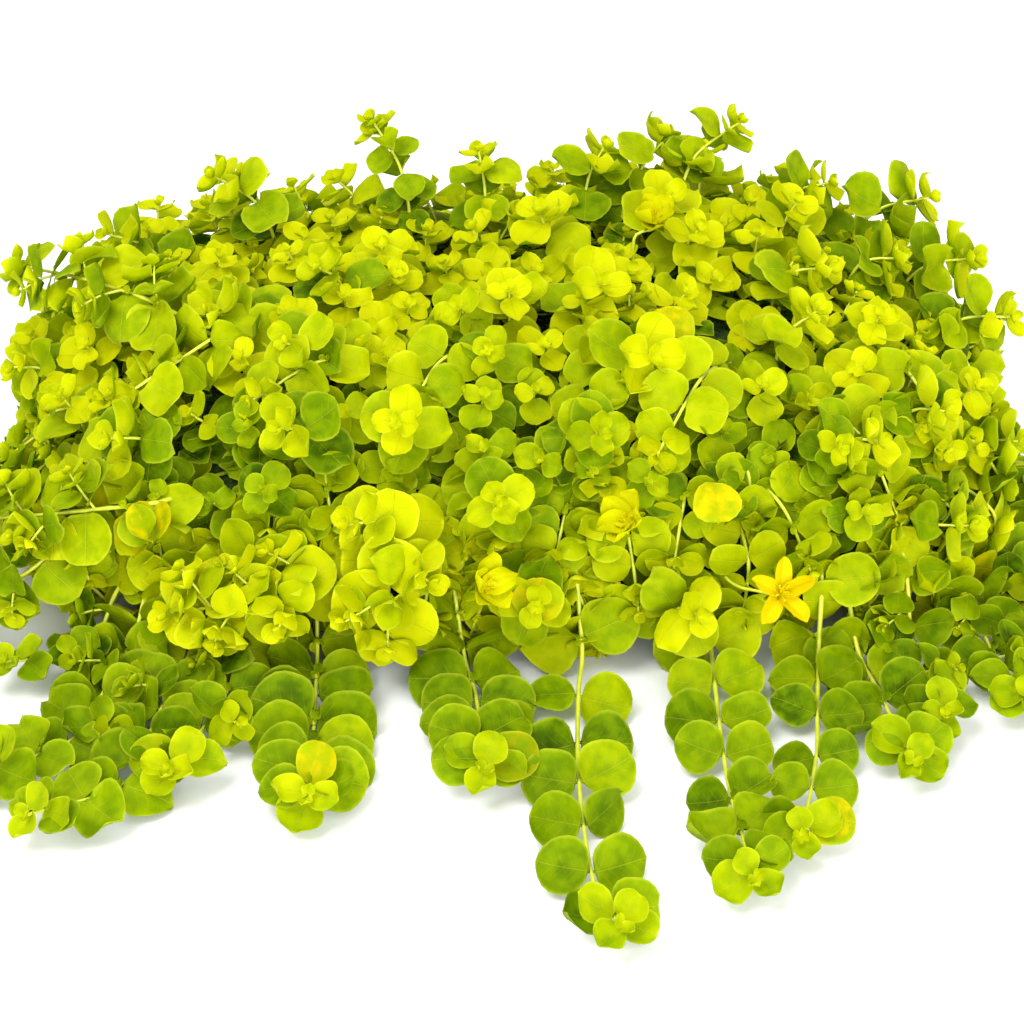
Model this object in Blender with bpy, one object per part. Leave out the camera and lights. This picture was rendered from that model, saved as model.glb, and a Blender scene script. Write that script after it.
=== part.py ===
"""Golden creeping jenny: one clump, cut flat at the ground, with its trailing stems laid out along the floor.

The frame is in metres. The origin is the middle of the flat cut on the floor, +Z is up, and the side that
the longest stems trail from faces -Y. Places and sizes below are in millimetres until MM scales them.
"""

import math
import random

import bmesh
import bpy
from mathutils import Matrix, Vector
from mathutils.bvhtree import BVHTree

MM = 0.001
UP = Vector((0, 0, 1))

# The mat is the crowded middle of the clump: a rounded box whose surface is where the crowded leaves end.
MAT_HALF_WIDTH = 210
MAT_HALF_DEPTH = 140
MAT_HEIGHT = 110
MAT_PLAN_POWER = 3.8
MAT_RISE_POWER = 3.4
MAT_LUMPS = 400
MAT_RIM_POINTS = 40
MAT_LUMP_DEPTH = 6
MAT_RIM_DEPTH = 3

# The mat stands a little higher round a place behind its middle.
CROWN_MIDDLE = Vector((85, 45))
CROWN_RADIUS = 105
CROWN_RISE = 11

# The cut foot is narrower than the leaves that hang over it.
FOOT_HEIGHT = 36
FOOT_TUCK = 0.14

# A leaf is a round, slightly dished blade on a short stalk.
LEAF_SIDES = 6
LEAF_THICKNESS = 1.4
LEAF_STALK = 2.0
LEAF_TRIES = 14
CLEARANCE = 0.35
FLOOR_CLEARANCE = 0.3

# Each try at placing a leaf turns it a little more and makes it a little smaller than the one before.
TRY_SWAY = 0.05
TRY_SHRINK = 0.025
LEAF_SIZE_SPREAD = 0.08

STEM_RADIUS = 1.1
STEM_TIP_SHARE = 0.6
ROOT_GAP = 1.2
ROOT_SEARCH = 30
ROOT_STRAIGHT = 5
STEM_CLEARANCE = 4
SHOOT_STEPS = 3
SHOOT_BEND = 0.5

# The pair at a stem's tip is smaller and nearer to the next one than the other pairs are.
YOUNG_SIZE = 0.72
YOUNG_GAP = 0.5
TIP_INSET = 1.5
BARE_TRAIL_ROOT = 14
BARE_SHOOT_ROOT = 2

TRAIL_LEAF_LEAN = math.radians(38)
TRAIL_LEAF_BACKWARD = math.radians(10)
SHOOT_LEAF_FORWARD = math.radians(24)
SHOOT_SPACING = 9
SHOOT_REACH = 0.86
SHOOT_PAIRS = 2

# Stems that lie on the floor: the full leaf, the leaf spacing, and points of the route from the mat outwards.
TRAILS = (
    ("trail_left_side", 18, 25,
     ((-210, 5, 26), (-219, 0, 10), (-232, -25, 8), (-236, -58, 13))),
    ("trail_left_corner", 19, 19,
     ((-160, -130, 26), (-168, -144, 11), (-178, -152, 8), (-194, -164, 13))),
    ("trail_left_outer", 18, 22,
     ((-146, -136, 32), (-153, -152, 11), (-160, -176, 8), (-168, -212, 8), (-192, -236, 13))),
    ("trail_left_inner", 18, 24,
     ((-124, -139, 26), (-130, -158, 10), (-138, -200, 8), (-144, -240, 8), (-169, -262, 13))),
    ("trail_broad", 25, 25,
     ((-102, -140, 30), (-106, -157, 11), (-112, -180, 9), (-119, -207, 9), (-125, -237, 15))),
    ("trail_double_row", 21, 22,
     ((-78, -141, 34), (-78, -158, 11), (-77, -184, 8), (-76, -217, 8), (-75, -250, 14))),
    ("trail_short", 20, 22,
     ((-24, -142, 42), (-19, -159, 11), (-14, -184, 8), (-11, -226, 14))),
    ("trail_longest", 19, 30,
     ((25, -142, 46), (28, -158, 14), (26, -184, 8), (25, -240, 8), (29, -300, 8), (35, -322, 13))),
    ("trail_right_long", 18, 26,
     ((77, -142, 30), (80, -159, 11), (80, -207, 8), (81, -251, 8), (84, -292, 13))),
    ("trail_right_mid", 18, 27,
     ((124, -136, 42), (123, -156, 13), (119, -190, 8), (115, -223, 8), (105, -272, 13))),
    ("trail_thick_stem", 19, 22,
     ((134, -134, 34), (139, -154, 11), (144, -178, 8), (149, -226, 13))),
    ("trail_bright_tip", 20, 20,
     ((157, -131, 44), (161, -150, 13), (164, -172, 8), (165, -199, 14))),
    ("trail_right_outer", 17, 19,
     ((182, -118, 34), (191, -134, 12), (195, -156, 8), (199, -187, 13))),
    ("trail_right_corner", 17, 19,
     ((200, -88, 30), (212, -104, 11), (217, -126, 8), (219, -154, 13))),
    ("trail_right_side", 18, 25,
     ((210, -10, 30), (221, -14, 10), (232, -32, 8), (241, -62, 13))),
    ("trail_back_left", 19, 24,
     ((-90, 141, 30), (-94, 159, 11), (-99, 180, 8), (-108, 205, 13))),
    ("trail_back_mid", 19, 24,
     ((20, 142, 34), (23, 161, 11), (26, 185, 8), (24, 214, 13))),
    ("trail_back_right", 19, 24,
     ((122, 139, 30), (127, 158, 11), (134, 178, 8), (146, 200, 13))),
)

# Sprays are leafy stems that leave the mat and hang or arch in the air, listed in the same way.
SPRAYS = (
    ("spray_left_low", 18, 23,
     ((-140, -130, 66), (-170, -130, 62), (-200, -118, 52), (-228, -102, 42))),
    ("spray_left_corner", 17, 21,
     ((-176, -122, 46), (-197, -137, 36), (-215, -140, 27), (-232, -138, 20))),
    ("spray_left_arch", 18, 24,
     ((-112, -76, 104), (-146, -50, 114), (-180, -24, 114), (-214, 10, 105))),
    ("spray_broad_hanging", 29, 20,
     ((-47, -144, 66), (-48, -163, 50), (-49, -172, 24))),
    ("spray_front_left", 21, 19,
     ((-76, -148, 46), (-100, -162, 40), (-128, -162, 35))),
)

# Short shoots that stand out of the mat, by the place of the tip and the full leaf.
SHOOTS = (
    ("sprig_back_left", (-64, 78, 148), 12),
    ("sprig_back_middle", (-15, 60, 140), 14),
    ("sprig_back_right", (42, 70, 138), 16),
    ("sprig_back_tall", (104, 80, 146), 14),
    ("sprig_back_pair", (73, 82, 139), 16),
    ("sprig_right", (143, 52, 128), 15),
    ("sprig_right_corner", (190, 56, 119), 18),
    ("sprig_right_edge", (214, -28, 99), 15),
    ("sprig_right_shoulder", (206, 22, 104), 17),
    ("sprig_left", (-134, 50, 132), 16),
    ("sprig_left_corner", (-180, 26, 114), 17),
    ("sprig_left_edge", (-214, -38, 80), 14),
    ("shoot_top_left", (-82, -34, 125), 20),
    ("shoot_top_front", (-22, -67, 122), 19),
    ("shoot_top_middle", (37, -54, 126), 24),
    ("shoot_top_bright", (56, -103, 118), 22),
    ("shoot_top_right", (134, -27, 121), 24),
    ("shoot_top_far_right", (170, 2, 113), 20),
    ("shoot_shoulder_left", (-126, -63, 118), 20),
    ("shoot_shoulder_front", (-91, -93, 118), 20),
    ("shoot_face_bright", (-45, -134, 104), 22),
    ("shoot_face_left", (-91, -132, 100), 19),
    ("shoot_face_far_left", (-160, -120, 89), 19),
    ("shoot_face_right", (145, -127, 92), 20),
    ("shoot_face_far_right", (175, -102, 92), 20),
    ("shoot_face_middle", (35, -136, 100), 20),
    ("shoot_face_low", (-5, -155, 80), 18),
    ("shoot_edge_right", (183, -132, 56), 18),
    ("shoot_side_right", (213, -72, 62), 18),
    ("shoot_front_right", (73, -167, 36), 20),
    ("shoot_front_middle", (9, -170, 42), 18),
)

# Flowers, by the middle of the flower and the way that it faces.
FLOWERS = (
    ("flower_front", (104, -171, 48), (0.15, -0.75, 0.6)),
    ("flower_low", (-12, -168, 50), (0.1, -0.8, 0.5)),
    ("flower_middle", (46, -158, 72), (-0.1, -0.7, 0.7)),
    ("flower_top", (62, 6, 128), (0.0, -0.45, 0.9)),
)
PETALS = 5
PETAL_LENGTH = 13.5
PETAL_WIDTH = 7.5
PETAL_THICKNESS = 1.3
PETAL_RISE = math.radians(24)
FLOWER_HEART_SIDES = 4
FLOWER_HEART_RADIUS = 1.9
FLOWER_HEART_HEIGHT = 4

LEAF_GREEN = (0.36, 0.45, 0.01, 1)
TRAIL_GREEN = (0.27, 0.39, 0.01, 1)
MAT_GREEN = (0.12, 0.22, 0.01, 1)
PETAL_YELLOW = (0.87, 0.62, 0.005, 1)
LEAF_ROUGHNESS = 0.5
SHARP_ANGLE = math.radians(30)
WELD = 0.001


def clear_scene():
    for item in list(bpy.data.objects):
        bpy.data.objects.remove(item, do_unlink=True)


def new_collection(name):
    collection = bpy.data.collections.new(name)
    bpy.context.scene.collection.children.link(collection)
    return collection


def plain_material(name, colour):
    material = bpy.data.materials.new(name)
    material.use_nodes = True
    surface = material.node_tree.nodes["Principled BSDF"]
    surface.inputs["Base Color"].default_value = colour
    surface.inputs["Roughness"].default_value = LEAF_ROUGHNESS
    surface.inputs["Metallic"].default_value = 0.0
    return material


def mat_level(point):
    """Less than 1 inside the mat's smooth form, 1 on it and more outside."""
    plan = abs(point.x / MAT_HALF_WIDTH) ** MAT_PLAN_POWER + abs(point.y / MAT_HALF_DEPTH) ** MAT_PLAN_POWER
    return plan ** (MAT_RISE_POWER / MAT_PLAN_POWER) + abs(point.z / MAT_HEIGHT) ** MAT_RISE_POWER


def on_mat(point):
    """The place on the mat's form that lies the same way from the origin as the point."""
    return point / mat_level(point) ** (1 / MAT_RISE_POWER)


def mat_normal(point):
    """The way straight out of the mat's form, from small steps along each axis."""
    step = 0.01
    slopes = [
        mat_level(point + step * axis) - mat_level(point - step * axis)
        for axis in (Vector((1, 0, 0)), Vector((0, 1, 0)), UP)
    ]
    return Vector(slopes).normalized()


def line_length(line):
    return sum((b - a).length for a, b in zip(line, line[1:]))


def along_line(line, distance):
    """The point and the direction at a distance from the line's start."""
    for a, b in zip(line, line[1:]):
        piece = (b - a).length
        if distance <= piece:
            break
        distance -= piece
    return a + (b - a) * min(distance / piece, 1), (b - a).normalized()


def stem_root(near, mat_skin):
    """Where a stem leaves the mat: just clear of its lumpy surface, below the given place."""
    place = on_mat(near)
    out = mat_normal(place)
    surface = mat_skin.ray_cast(place + out * ROOT_SEARCH, -out)[0]
    return surface + out * ROOT_GAP


def trail_line(points, mat_skin):
    """A route that leaves the mat squarely and runs through the given points, held off the mat's lumps."""
    root = stem_root(Vector(points[0]), mat_skin)
    held = [root]
    for point in (root + mat_normal(on_mat(root)) * ROOT_STRAIGHT, *map(Vector, points[1:])):
        surface, out, _, _ = mat_skin.find_nearest(point)
        height = (point - surface).dot(out)
        held.append(point + out * max(0, STEM_CLEARANCE - height))
    return held


def shoot_line(tip, mat_skin):
    """An arc that leaves the mat squarely and ends at the tip."""
    tip = Vector(tip)
    root = stem_root(tip * SHOOT_REACH, mat_skin)
    bend = root + mat_normal(on_mat(root)) * (tip - root).length * SHOOT_BEND
    shares = [step / SHOOT_STEPS for step in range(SHOOT_STEPS + 1)]
    return [root.lerp(bend, t).lerp(bend.lerp(tip, t), t) for t in shares]


def leaf_stations(length, spacing, bare_root):
    """The distance of each leaf pair along a stem and its share of the full leaf size, from the tip down."""
    stations = [(length - TIP_INSET, YOUNG_SIZE)]
    distance = length - TIP_INSET - YOUNG_GAP * spacing
    while distance > bare_root:
        stations.append((distance, 1.0))
        distance -= spacing
    return stations


def leaf_frame(base, along, facing):
    """Where a leaf goes: X runs along its length from the stem, Z out of its upper face."""
    along = along.normalized()
    facing = (facing - along * facing.dot(along)).normalized()
    across = facing.cross(along)
    frame = Matrix((along, across, facing)).transposed().to_4x4()
    frame.translation = base
    return frame


def blade(sides, length, width, thickness, stalk):
    """A thin closed blade along +X from its stalk's end at the origin, flat below with a raised middle."""
    mesh = bmesh.new()
    bmesh.ops.create_cone(
        mesh, cap_ends=True, segments=sides, radius1=0.5, radius2=0, depth=1,
        matrix=Matrix.Rotation(math.pi / 2, 4, "Z"),
    )
    for vert in mesh.verts:
        is_stalk_end = vert.co.x < -0.499
        vert.co.x = 0 if is_stalk_end else stalk + length * (0.5 + vert.co.x)
        vert.co.y *= width
        vert.co.z = thickness if vert.co.z > 0 else 0
    return mesh


def leaf_blade(size):
    return blade(LEAF_SIDES, size, size, LEAF_THICKNESS, LEAF_STALK)


class Crowd:
    """Every surface placed so far, with its node's name, so that nodes can keep clear of each other."""

    def __init__(self):
        self.surfaces = []

    def add(self, node, mesh):
        self.surfaces.append((node, BVHTree.FromBMesh(mesh)))

    def is_clear(self, node, mesh):
        if min(vert.co.z for vert in mesh.verts) < FLOOR_CLEARANCE:
            return False
        thick = mesh.copy()
        thick.normal_update()
        for vert in thick.verts:
            vert.co += vert.normal * CLEARANCE
        tree = BVHTree.FromBMesh(thick)
        thick.free()
        return not any(tree.overlap(surface) for owner, surface in self.surfaces if owner != node)


def mesh_object(name, mesh, collection):
    """A new object from a bmesh in millimetres."""
    bmesh.ops.scale(mesh, vec=Vector((MM, MM, MM)), verts=mesh.verts)
    data = bpy.data.meshes.new(name)
    mesh.to_mesh(data)
    mesh.free()
    item = bpy.data.objects.new(name, data)
    collection.objects.link(item)
    return item


def tube_mesh(line, radius):
    """A four-sided stem along the line, as the real stem is, thinner towards its tip."""
    curve = bpy.data.curves.new("stem", "CURVE")
    curve.dimensions = "3D"
    curve.bevel_depth = radius
    curve.bevel_resolution = 0
    curve.use_fill_caps = True
    spline = curve.splines.new("POLY")
    spline.points.add(len(line) - 1)
    for index, (point, place) in enumerate(zip(spline.points, line)):
        point.co = (*place, 1)
        point.radius = 1 + (STEM_TIP_SHARE - 1) * index / (len(line) - 1)
    guide = bpy.data.objects.new("stem", curve)
    bpy.context.scene.collection.objects.link(guide)
    bpy.context.view_layer.update()
    graph = bpy.context.evaluated_depsgraph_get()
    data = bpy.data.meshes.new_from_object(guide.evaluated_get(graph))
    bpy.data.objects.remove(guide, do_unlink=True)
    mesh = bmesh.new()
    mesh.from_mesh(data)
    bmesh.ops.remove_doubles(mesh, verts=mesh.verts, dist=WELD)
    bmesh.ops.recalc_face_normals(mesh, faces=mesh.faces)
    return mesh


def keep_outer_skin(data):
    """Drops the little pockets that leaves can close between them where they cross."""
    mesh = bmesh.new()
    mesh.from_mesh(data)
    unseen = set(mesh.faces)
    skins = []
    while unseen:
        skin = {unseen.pop()}
        edge_of_skin = list(skin)
        while edge_of_skin:
            face = edge_of_skin.pop()
            beside = {other for edge in face.edges for other in edge.link_faces} - skin
            skin |= beside
            edge_of_skin += beside
        unseen -= skin
        skins.append(skin)
    skins.sort(key=len)
    pockets = [face for skin in skins[:-1] for face in skin]
    bmesh.ops.delete(mesh, geom=pockets, context="FACES")
    mesh.to_mesh(data)
    mesh.free()


def fused(name, core, pieces, material, parts, cutters):
    """One object: the core with every piece that grows from it joined on."""
    core_object = mesh_object(name, core, parts)
    group = bpy.data.collections.new(name + "_leaves")
    cutters.children.link(group)
    for piece in pieces:
        helper = mesh_object(name + "_leaf", piece, group)
        helper.hide_render = True
        helper.display_type = "WIRE"
    join = core_object.modifiers.new("join", "BOOLEAN")
    join.operation = "UNION"
    join.operand_type = "COLLECTION"
    join.collection = group
    bpy.context.view_layer.update()
    graph = bpy.context.evaluated_depsgraph_get()
    core_object.data = bpy.data.meshes.new_from_object(core_object.evaluated_get(graph))
    core_object.modifiers.clear()
    keep_outer_skin(core_object.data)
    for helper in list(group.objects):
        bpy.data.objects.remove(helper, do_unlink=True)
    bpy.data.collections.remove(group)
    core_object.data.materials.clear()
    core_object.data.materials.append(material)
    core_object.data.set_sharp_from_angle(angle=SHARP_ANGLE)
    return core_object


def placed_leaf(node, crowd, chance, size, base, along, facing):
    """A leaf at this place, turned and shrunk a little at each try until it is clear of the other nodes."""
    for attempt in range(LEAF_TRIES):
        sway = TRY_SWAY * (1 + attempt)
        nudge = Vector([chance.gauss(0, sway) for _ in range(3)])
        tilt = Vector([chance.gauss(0, sway) for _ in range(3)])
        mesh = leaf_blade(size * (1 - TRY_SHRINK * attempt))
        mesh.transform(leaf_frame(base, along + nudge, facing + tilt))
        if crowd.is_clear(node, mesh):
            crowd.add(node, mesh)
            return mesh
        mesh.free()
    return None


def varied(size, chance):
    return size * chance.uniform(1 - LEAF_SIZE_SPREAD, 1 + LEAF_SIZE_SPREAD)


def row_leaves(node, line, size, spacing, crowd):
    """Leaves in two flat rows, as on a stem that trails: every pair faces up and to the tip.

    The pairs sweep back a little, and the one at the tip is turned along the stem.
    """
    chance = random.Random(node)
    leaves = []
    for distance, share in leaf_stations(line_length(line), spacing, BARE_TRAIL_ROOT):
        base, ahead = along_line(line, distance)
        out = (UP - ahead * UP.dot(ahead)).normalized()
        facing = out * math.cos(TRAIL_LEAF_LEAN) + ahead * math.sin(TRAIL_LEAF_LEAN)
        side = ahead.cross(out)
        back = side.cross(facing)
        for way in (-1, 1):
            reach = side * way * math.cos(TRAIL_LEAF_BACKWARD) + back * math.sin(TRAIL_LEAF_BACKWARD)
            if share < 1:
                reach = back * way
            full = varied(size * share, chance)
            leaves.append(placed_leaf(node, crowd, chance, full, base, reach, facing))
    return [leaf for leaf in leaves if leaf]


def cross_leaves(node, line, size, crowd):
    """Leaves in pairs set crosswise, as on a stem that stands up, each pair a shallow cup round the stem."""
    chance = random.Random(node)
    turn = chance.uniform(0, math.pi)
    leaves = []
    stations = leaf_stations(line_length(line), SHOOT_SPACING, BARE_SHOOT_ROOT)
    for distance, share in stations[:SHOOT_PAIRS]:
        base, ahead = along_line(line, distance)
        side = Matrix.Rotation(turn, 3, ahead) @ ahead.orthogonal().normalized()
        turn += math.pi / 2
        for way in (-1, 1):
            reach = side * way * math.cos(SHOOT_LEAF_FORWARD) + ahead * math.sin(SHOOT_LEAF_FORWARD)
            full = varied(size * share, chance)
            leaves.append(placed_leaf(node, crowd, chance, full, base, reach, ahead))
    return [leaf for leaf in leaves if leaf]


def mat_form():
    """The mat: a rounded box with lumps and dents all over, flat where it was cut."""
    chance = random.Random("mat")
    golden = math.pi * (3 - math.sqrt(5))
    mesh = bmesh.new()
    for index in range(MAT_LUMPS):
        height = (index + 0.5) / MAT_LUMPS
        level = math.sqrt(1 - height * height)
        turn = golden * index
        spot = Vector((level * math.cos(turn), level * math.sin(turn), height))
        mesh.verts.new(on_mat(spot * Vector((MAT_HALF_WIDTH, MAT_HALF_DEPTH, MAT_HEIGHT))))
    for index in range(MAT_RIM_POINTS):
        turn = 2 * math.pi * index / MAT_RIM_POINTS
        rim_spot = Vector((math.cos(turn) * MAT_HALF_WIDTH, math.sin(turn) * MAT_HALF_DEPTH, 0))
        mesh.verts.new(on_mat(rim_spot))
    hull = bmesh.ops.convex_hull(mesh, input=mesh.verts)
    bmesh.ops.delete(mesh, geom=hull["geom_interior"], context="VERTS")
    for vert in mesh.verts:
        out = mat_normal(vert.co)
        depth = MAT_RIM_DEPTH if vert.co.z == 0 else MAT_LUMP_DEPTH
        vert.co += out * chance.uniform(-depth, depth)
        from_crown = (vert.co.xy - CROWN_MIDDLE).length / CROWN_RADIUS
        vert.co.z *= 1 + CROWN_RISE / MAT_HEIGHT * math.exp(-from_crown ** 2)
        tuck = 1 - FOOT_TUCK * max(0, 1 - vert.co.z / FOOT_HEIGHT) ** 2
        vert.co.xy *= tuck
    bmesh.ops.recalc_face_normals(mesh, faces=mesh.faces)
    return mesh


def flower_pieces(middle, facing):
    """Five pointed petals and the raised heart of a flower."""
    facing = Vector(facing).normalized()
    side = facing.orthogonal().normalized()
    pieces = []
    for index in range(PETALS):
        reach = Matrix.Rotation(2 * math.pi * index / PETALS, 3, facing) @ side
        petal = blade(4, PETAL_LENGTH, PETAL_WIDTH, PETAL_THICKNESS, 0)
        along = reach * math.cos(PETAL_RISE) + facing * math.sin(PETAL_RISE)
        petal.transform(leaf_frame(middle, along, facing))
        pieces.append(petal)
    heart = bmesh.new()
    bmesh.ops.create_cone(
        heart, cap_ends=True, segments=FLOWER_HEART_SIDES, radius1=FLOWER_HEART_RADIUS,
        radius2=FLOWER_HEART_RADIUS / 2, depth=FLOWER_HEART_HEIGHT,
    )
    heart.transform(leaf_frame(middle + facing * FLOWER_HEART_HEIGHT / 4, side, facing))
    return [*pieces, heart]


def build_creeping_jenny():
    clear_scene()
    parts = new_collection("creeping_jenny")
    cutters = new_collection("cutters")
    leaf_green = plain_material("leaf_green", LEAF_GREEN)
    trail_green = plain_material("trail_green", TRAIL_GREEN)
    mat_green = plain_material("mat_green", MAT_GREEN)
    petal_yellow = plain_material("petal_yellow", PETAL_YELLOW)

    crowd = Crowd()
    mat = mat_form()
    crowd.add("mat", mat)
    mat_skin = BVHTree.FromBMesh(mat)
    fused("mat", mat, [], mat_green, parts, cutters)

    lines = {name: trail_line(points, mat_skin) for name, _, _, points in TRAILS + SPRAYS}
    lines |= {name: shoot_line(tip, mat_skin) for name, tip, _ in SHOOTS}
    lines |= {name: shoot_line(middle, mat_skin) for name, middle, _ in FLOWERS}
    stems = {name: tube_mesh(line, STEM_RADIUS) for name, line in lines.items()}
    for name, stem in stems.items():
        crowd.add(name, stem)

    for name, middle, facing in FLOWERS:
        pieces = flower_pieces(Vector(middle), facing)
        for piece in pieces:
            crowd.add(name, piece)
        fused(name, stems[name], pieces, petal_yellow, parts, cutters)
    for name, _, size in SHOOTS:
        leaves = cross_leaves(name, lines[name], size, crowd)
        fused(name, stems[name], leaves, leaf_green, parts, cutters)
    for name, size, spacing, _ in TRAILS + SPRAYS:
        leaves = row_leaves(name, lines[name], size, spacing, crowd)
        fused(name, stems[name], leaves, trail_green, parts, cutters)


build_creeping_jenny()
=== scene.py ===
"""The looks of a clump of golden creeping jenny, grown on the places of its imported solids.

Every stem is a smooth path and every leaf a place on one. A Geometry Nodes tree turns each piece's paths and
places into a mesh. Lengths of the plant are in millimetres until MM makes them metres, and those of the stage
and of the patterns in the finishes are in metres. The photo's side is -Y.
"""

import logging
import math
import random
from dataclasses import dataclass, field
from enum import Enum
from typing import Sequence

import bmesh
import bpy
from mathutils import Matrix, Quaternion, Vector, noise


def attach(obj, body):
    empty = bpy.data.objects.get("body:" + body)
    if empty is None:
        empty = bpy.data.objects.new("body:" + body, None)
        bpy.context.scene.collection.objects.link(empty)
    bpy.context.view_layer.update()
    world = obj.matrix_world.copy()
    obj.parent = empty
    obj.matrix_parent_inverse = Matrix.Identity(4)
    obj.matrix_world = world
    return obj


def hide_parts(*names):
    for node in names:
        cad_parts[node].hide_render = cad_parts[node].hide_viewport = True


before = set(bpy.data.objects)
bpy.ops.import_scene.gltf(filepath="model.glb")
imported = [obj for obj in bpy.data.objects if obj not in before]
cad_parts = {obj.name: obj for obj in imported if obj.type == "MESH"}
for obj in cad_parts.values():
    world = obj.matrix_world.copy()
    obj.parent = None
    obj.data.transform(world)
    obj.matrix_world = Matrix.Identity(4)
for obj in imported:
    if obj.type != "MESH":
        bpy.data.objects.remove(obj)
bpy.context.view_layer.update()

LOG = logging.getLogger("creeping_jenny")
MM = 0.001
UP = Vector((0, 0, 1))
FRONT = Vector((0, -1, 0))
# How far the lowest leaves stay above the floor, and the leaf size from which one can turn orange.
FLOOR_GAP = 0.4
TURNING_SIZE = 14
# How far the mat's form faces up where it counts as its top, and to the front or the back as a face.
TOP_RISE = 0.62
FACE_TURN = 0.55
BODY = "root"

# Two values are a range, or a radius at the root and at the tip. Three are a place, a way, or values from a
# stem's tip to its root.
Two = tuple[float, float]
Three = tuple[float, float, float]
Colour = tuple[float, float, float, float]
Socket = bpy.types.NodeSocket


def meshed(made: bmesh.types.BMesh, name: str) -> bpy.types.Mesh:
    """Ends the making of a mesh.

    Args:
        made: what was made.
        name: the mesh's name.

    Returns:
        The mesh.
    """
    mesh = bpy.data.meshes.new(name)
    made.to_mesh(mesh)
    made.free()
    return mesh


def placed(name: str, data: bpy.types.ID) -> bpy.types.Object:
    """Puts an object in the scene.

    Args:
        name: its name.
        data: its mesh, its light or its camera.

    Returns:
        The object.
    """
    item = bpy.data.objects.new(name, data)
    bpy.context.scene.collection.objects.link(item)
    return item


class Detail(Enum):
    """How finely a leaf form is divided: shares of the blade that have a row, and columns across it."""

    CLOSE = ((0.025, 0.095, 0.205, 0.345, 0.50, 0.655, 0.795, 0.905, 0.975), (-1.0, -0.55, 0.0, 0.55, 1.0))
    NEAR = ((0.04, 0.145, 0.31, 0.50, 0.69, 0.855, 0.96), (-1.0, -0.55, 0.0, 0.55, 1.0))
    FAR = ((0.05, 0.28, 0.62, 0.92), (-1.0, 0.0, 1.0))


class Path:
    """A smooth line through a few points, which leaves grow along."""

    STEP = 3.0

    def __init__(self, points: Sequence[Sequence[float]]) -> None:
        """Samples a smooth curve through the points.

        Args:
            points: the places that the line runs through, from the root to the tip.
        """
        knots = [Vector(point) for point in points]
        ends = [knots[0] * 2 - knots[1], *knots, knots[-1] * 2 - knots[-2]]
        self.places = [knots[0]]
        for before, start, end, after in zip(ends, ends[1:], ends[2:], ends[3:]):
            count = max(2, math.ceil((end - start).length / self.STEP))
            for index in range(1, count + 1):
                share = index / count
                self.places.append(self._between(before, start, end, after, share))
        self.marks = [0.0]
        for a, b in zip(self.places, self.places[1:]):
            self.marks.append(self.marks[-1] + (b - a).length)

    @staticmethod
    def _between(before: Vector, start: Vector, end: Vector, after: Vector, share: float) -> Vector:
        """Finds a place on one stretch of a Catmull-Rom curve.

        Args:
            before: the point before the start.
            start: where this stretch of the curve starts.
            end: where it ends.
            after: the point after the end.
            share: how far from start to end.

        Returns:
            The place there.
        """
        slope_in = (end - before) / 2
        slope_out = (after - start) / 2
        cubed = share ** 3
        squared = share ** 2
        return (
            start * (2 * cubed - 3 * squared + 1)
            + slope_in * (cubed - 2 * squared + share)
            + end * (3 * squared - 2 * cubed)
            + slope_out * (cubed - squared)
        )

    @property
    def length(self) -> float:
        """The line's length."""
        return self.marks[-1]

    def at(self, distance: float) -> tuple[Vector, Vector]:
        """Finds a place on the line.

        Args:
            distance: how far along the line from its root.

        Returns:
            The place and the direction towards the tip there.
        """
        index = 0
        while index < len(self.marks) - 2 and self.marks[index + 1] < distance:
            index += 1
        a, b = self.places[index], self.places[index + 1]
        share = (distance - self.marks[index]) / (self.marks[index + 1] - self.marks[index])
        return a.lerp(b, min(share, 1.0)), (b - a).normalized()


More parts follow.
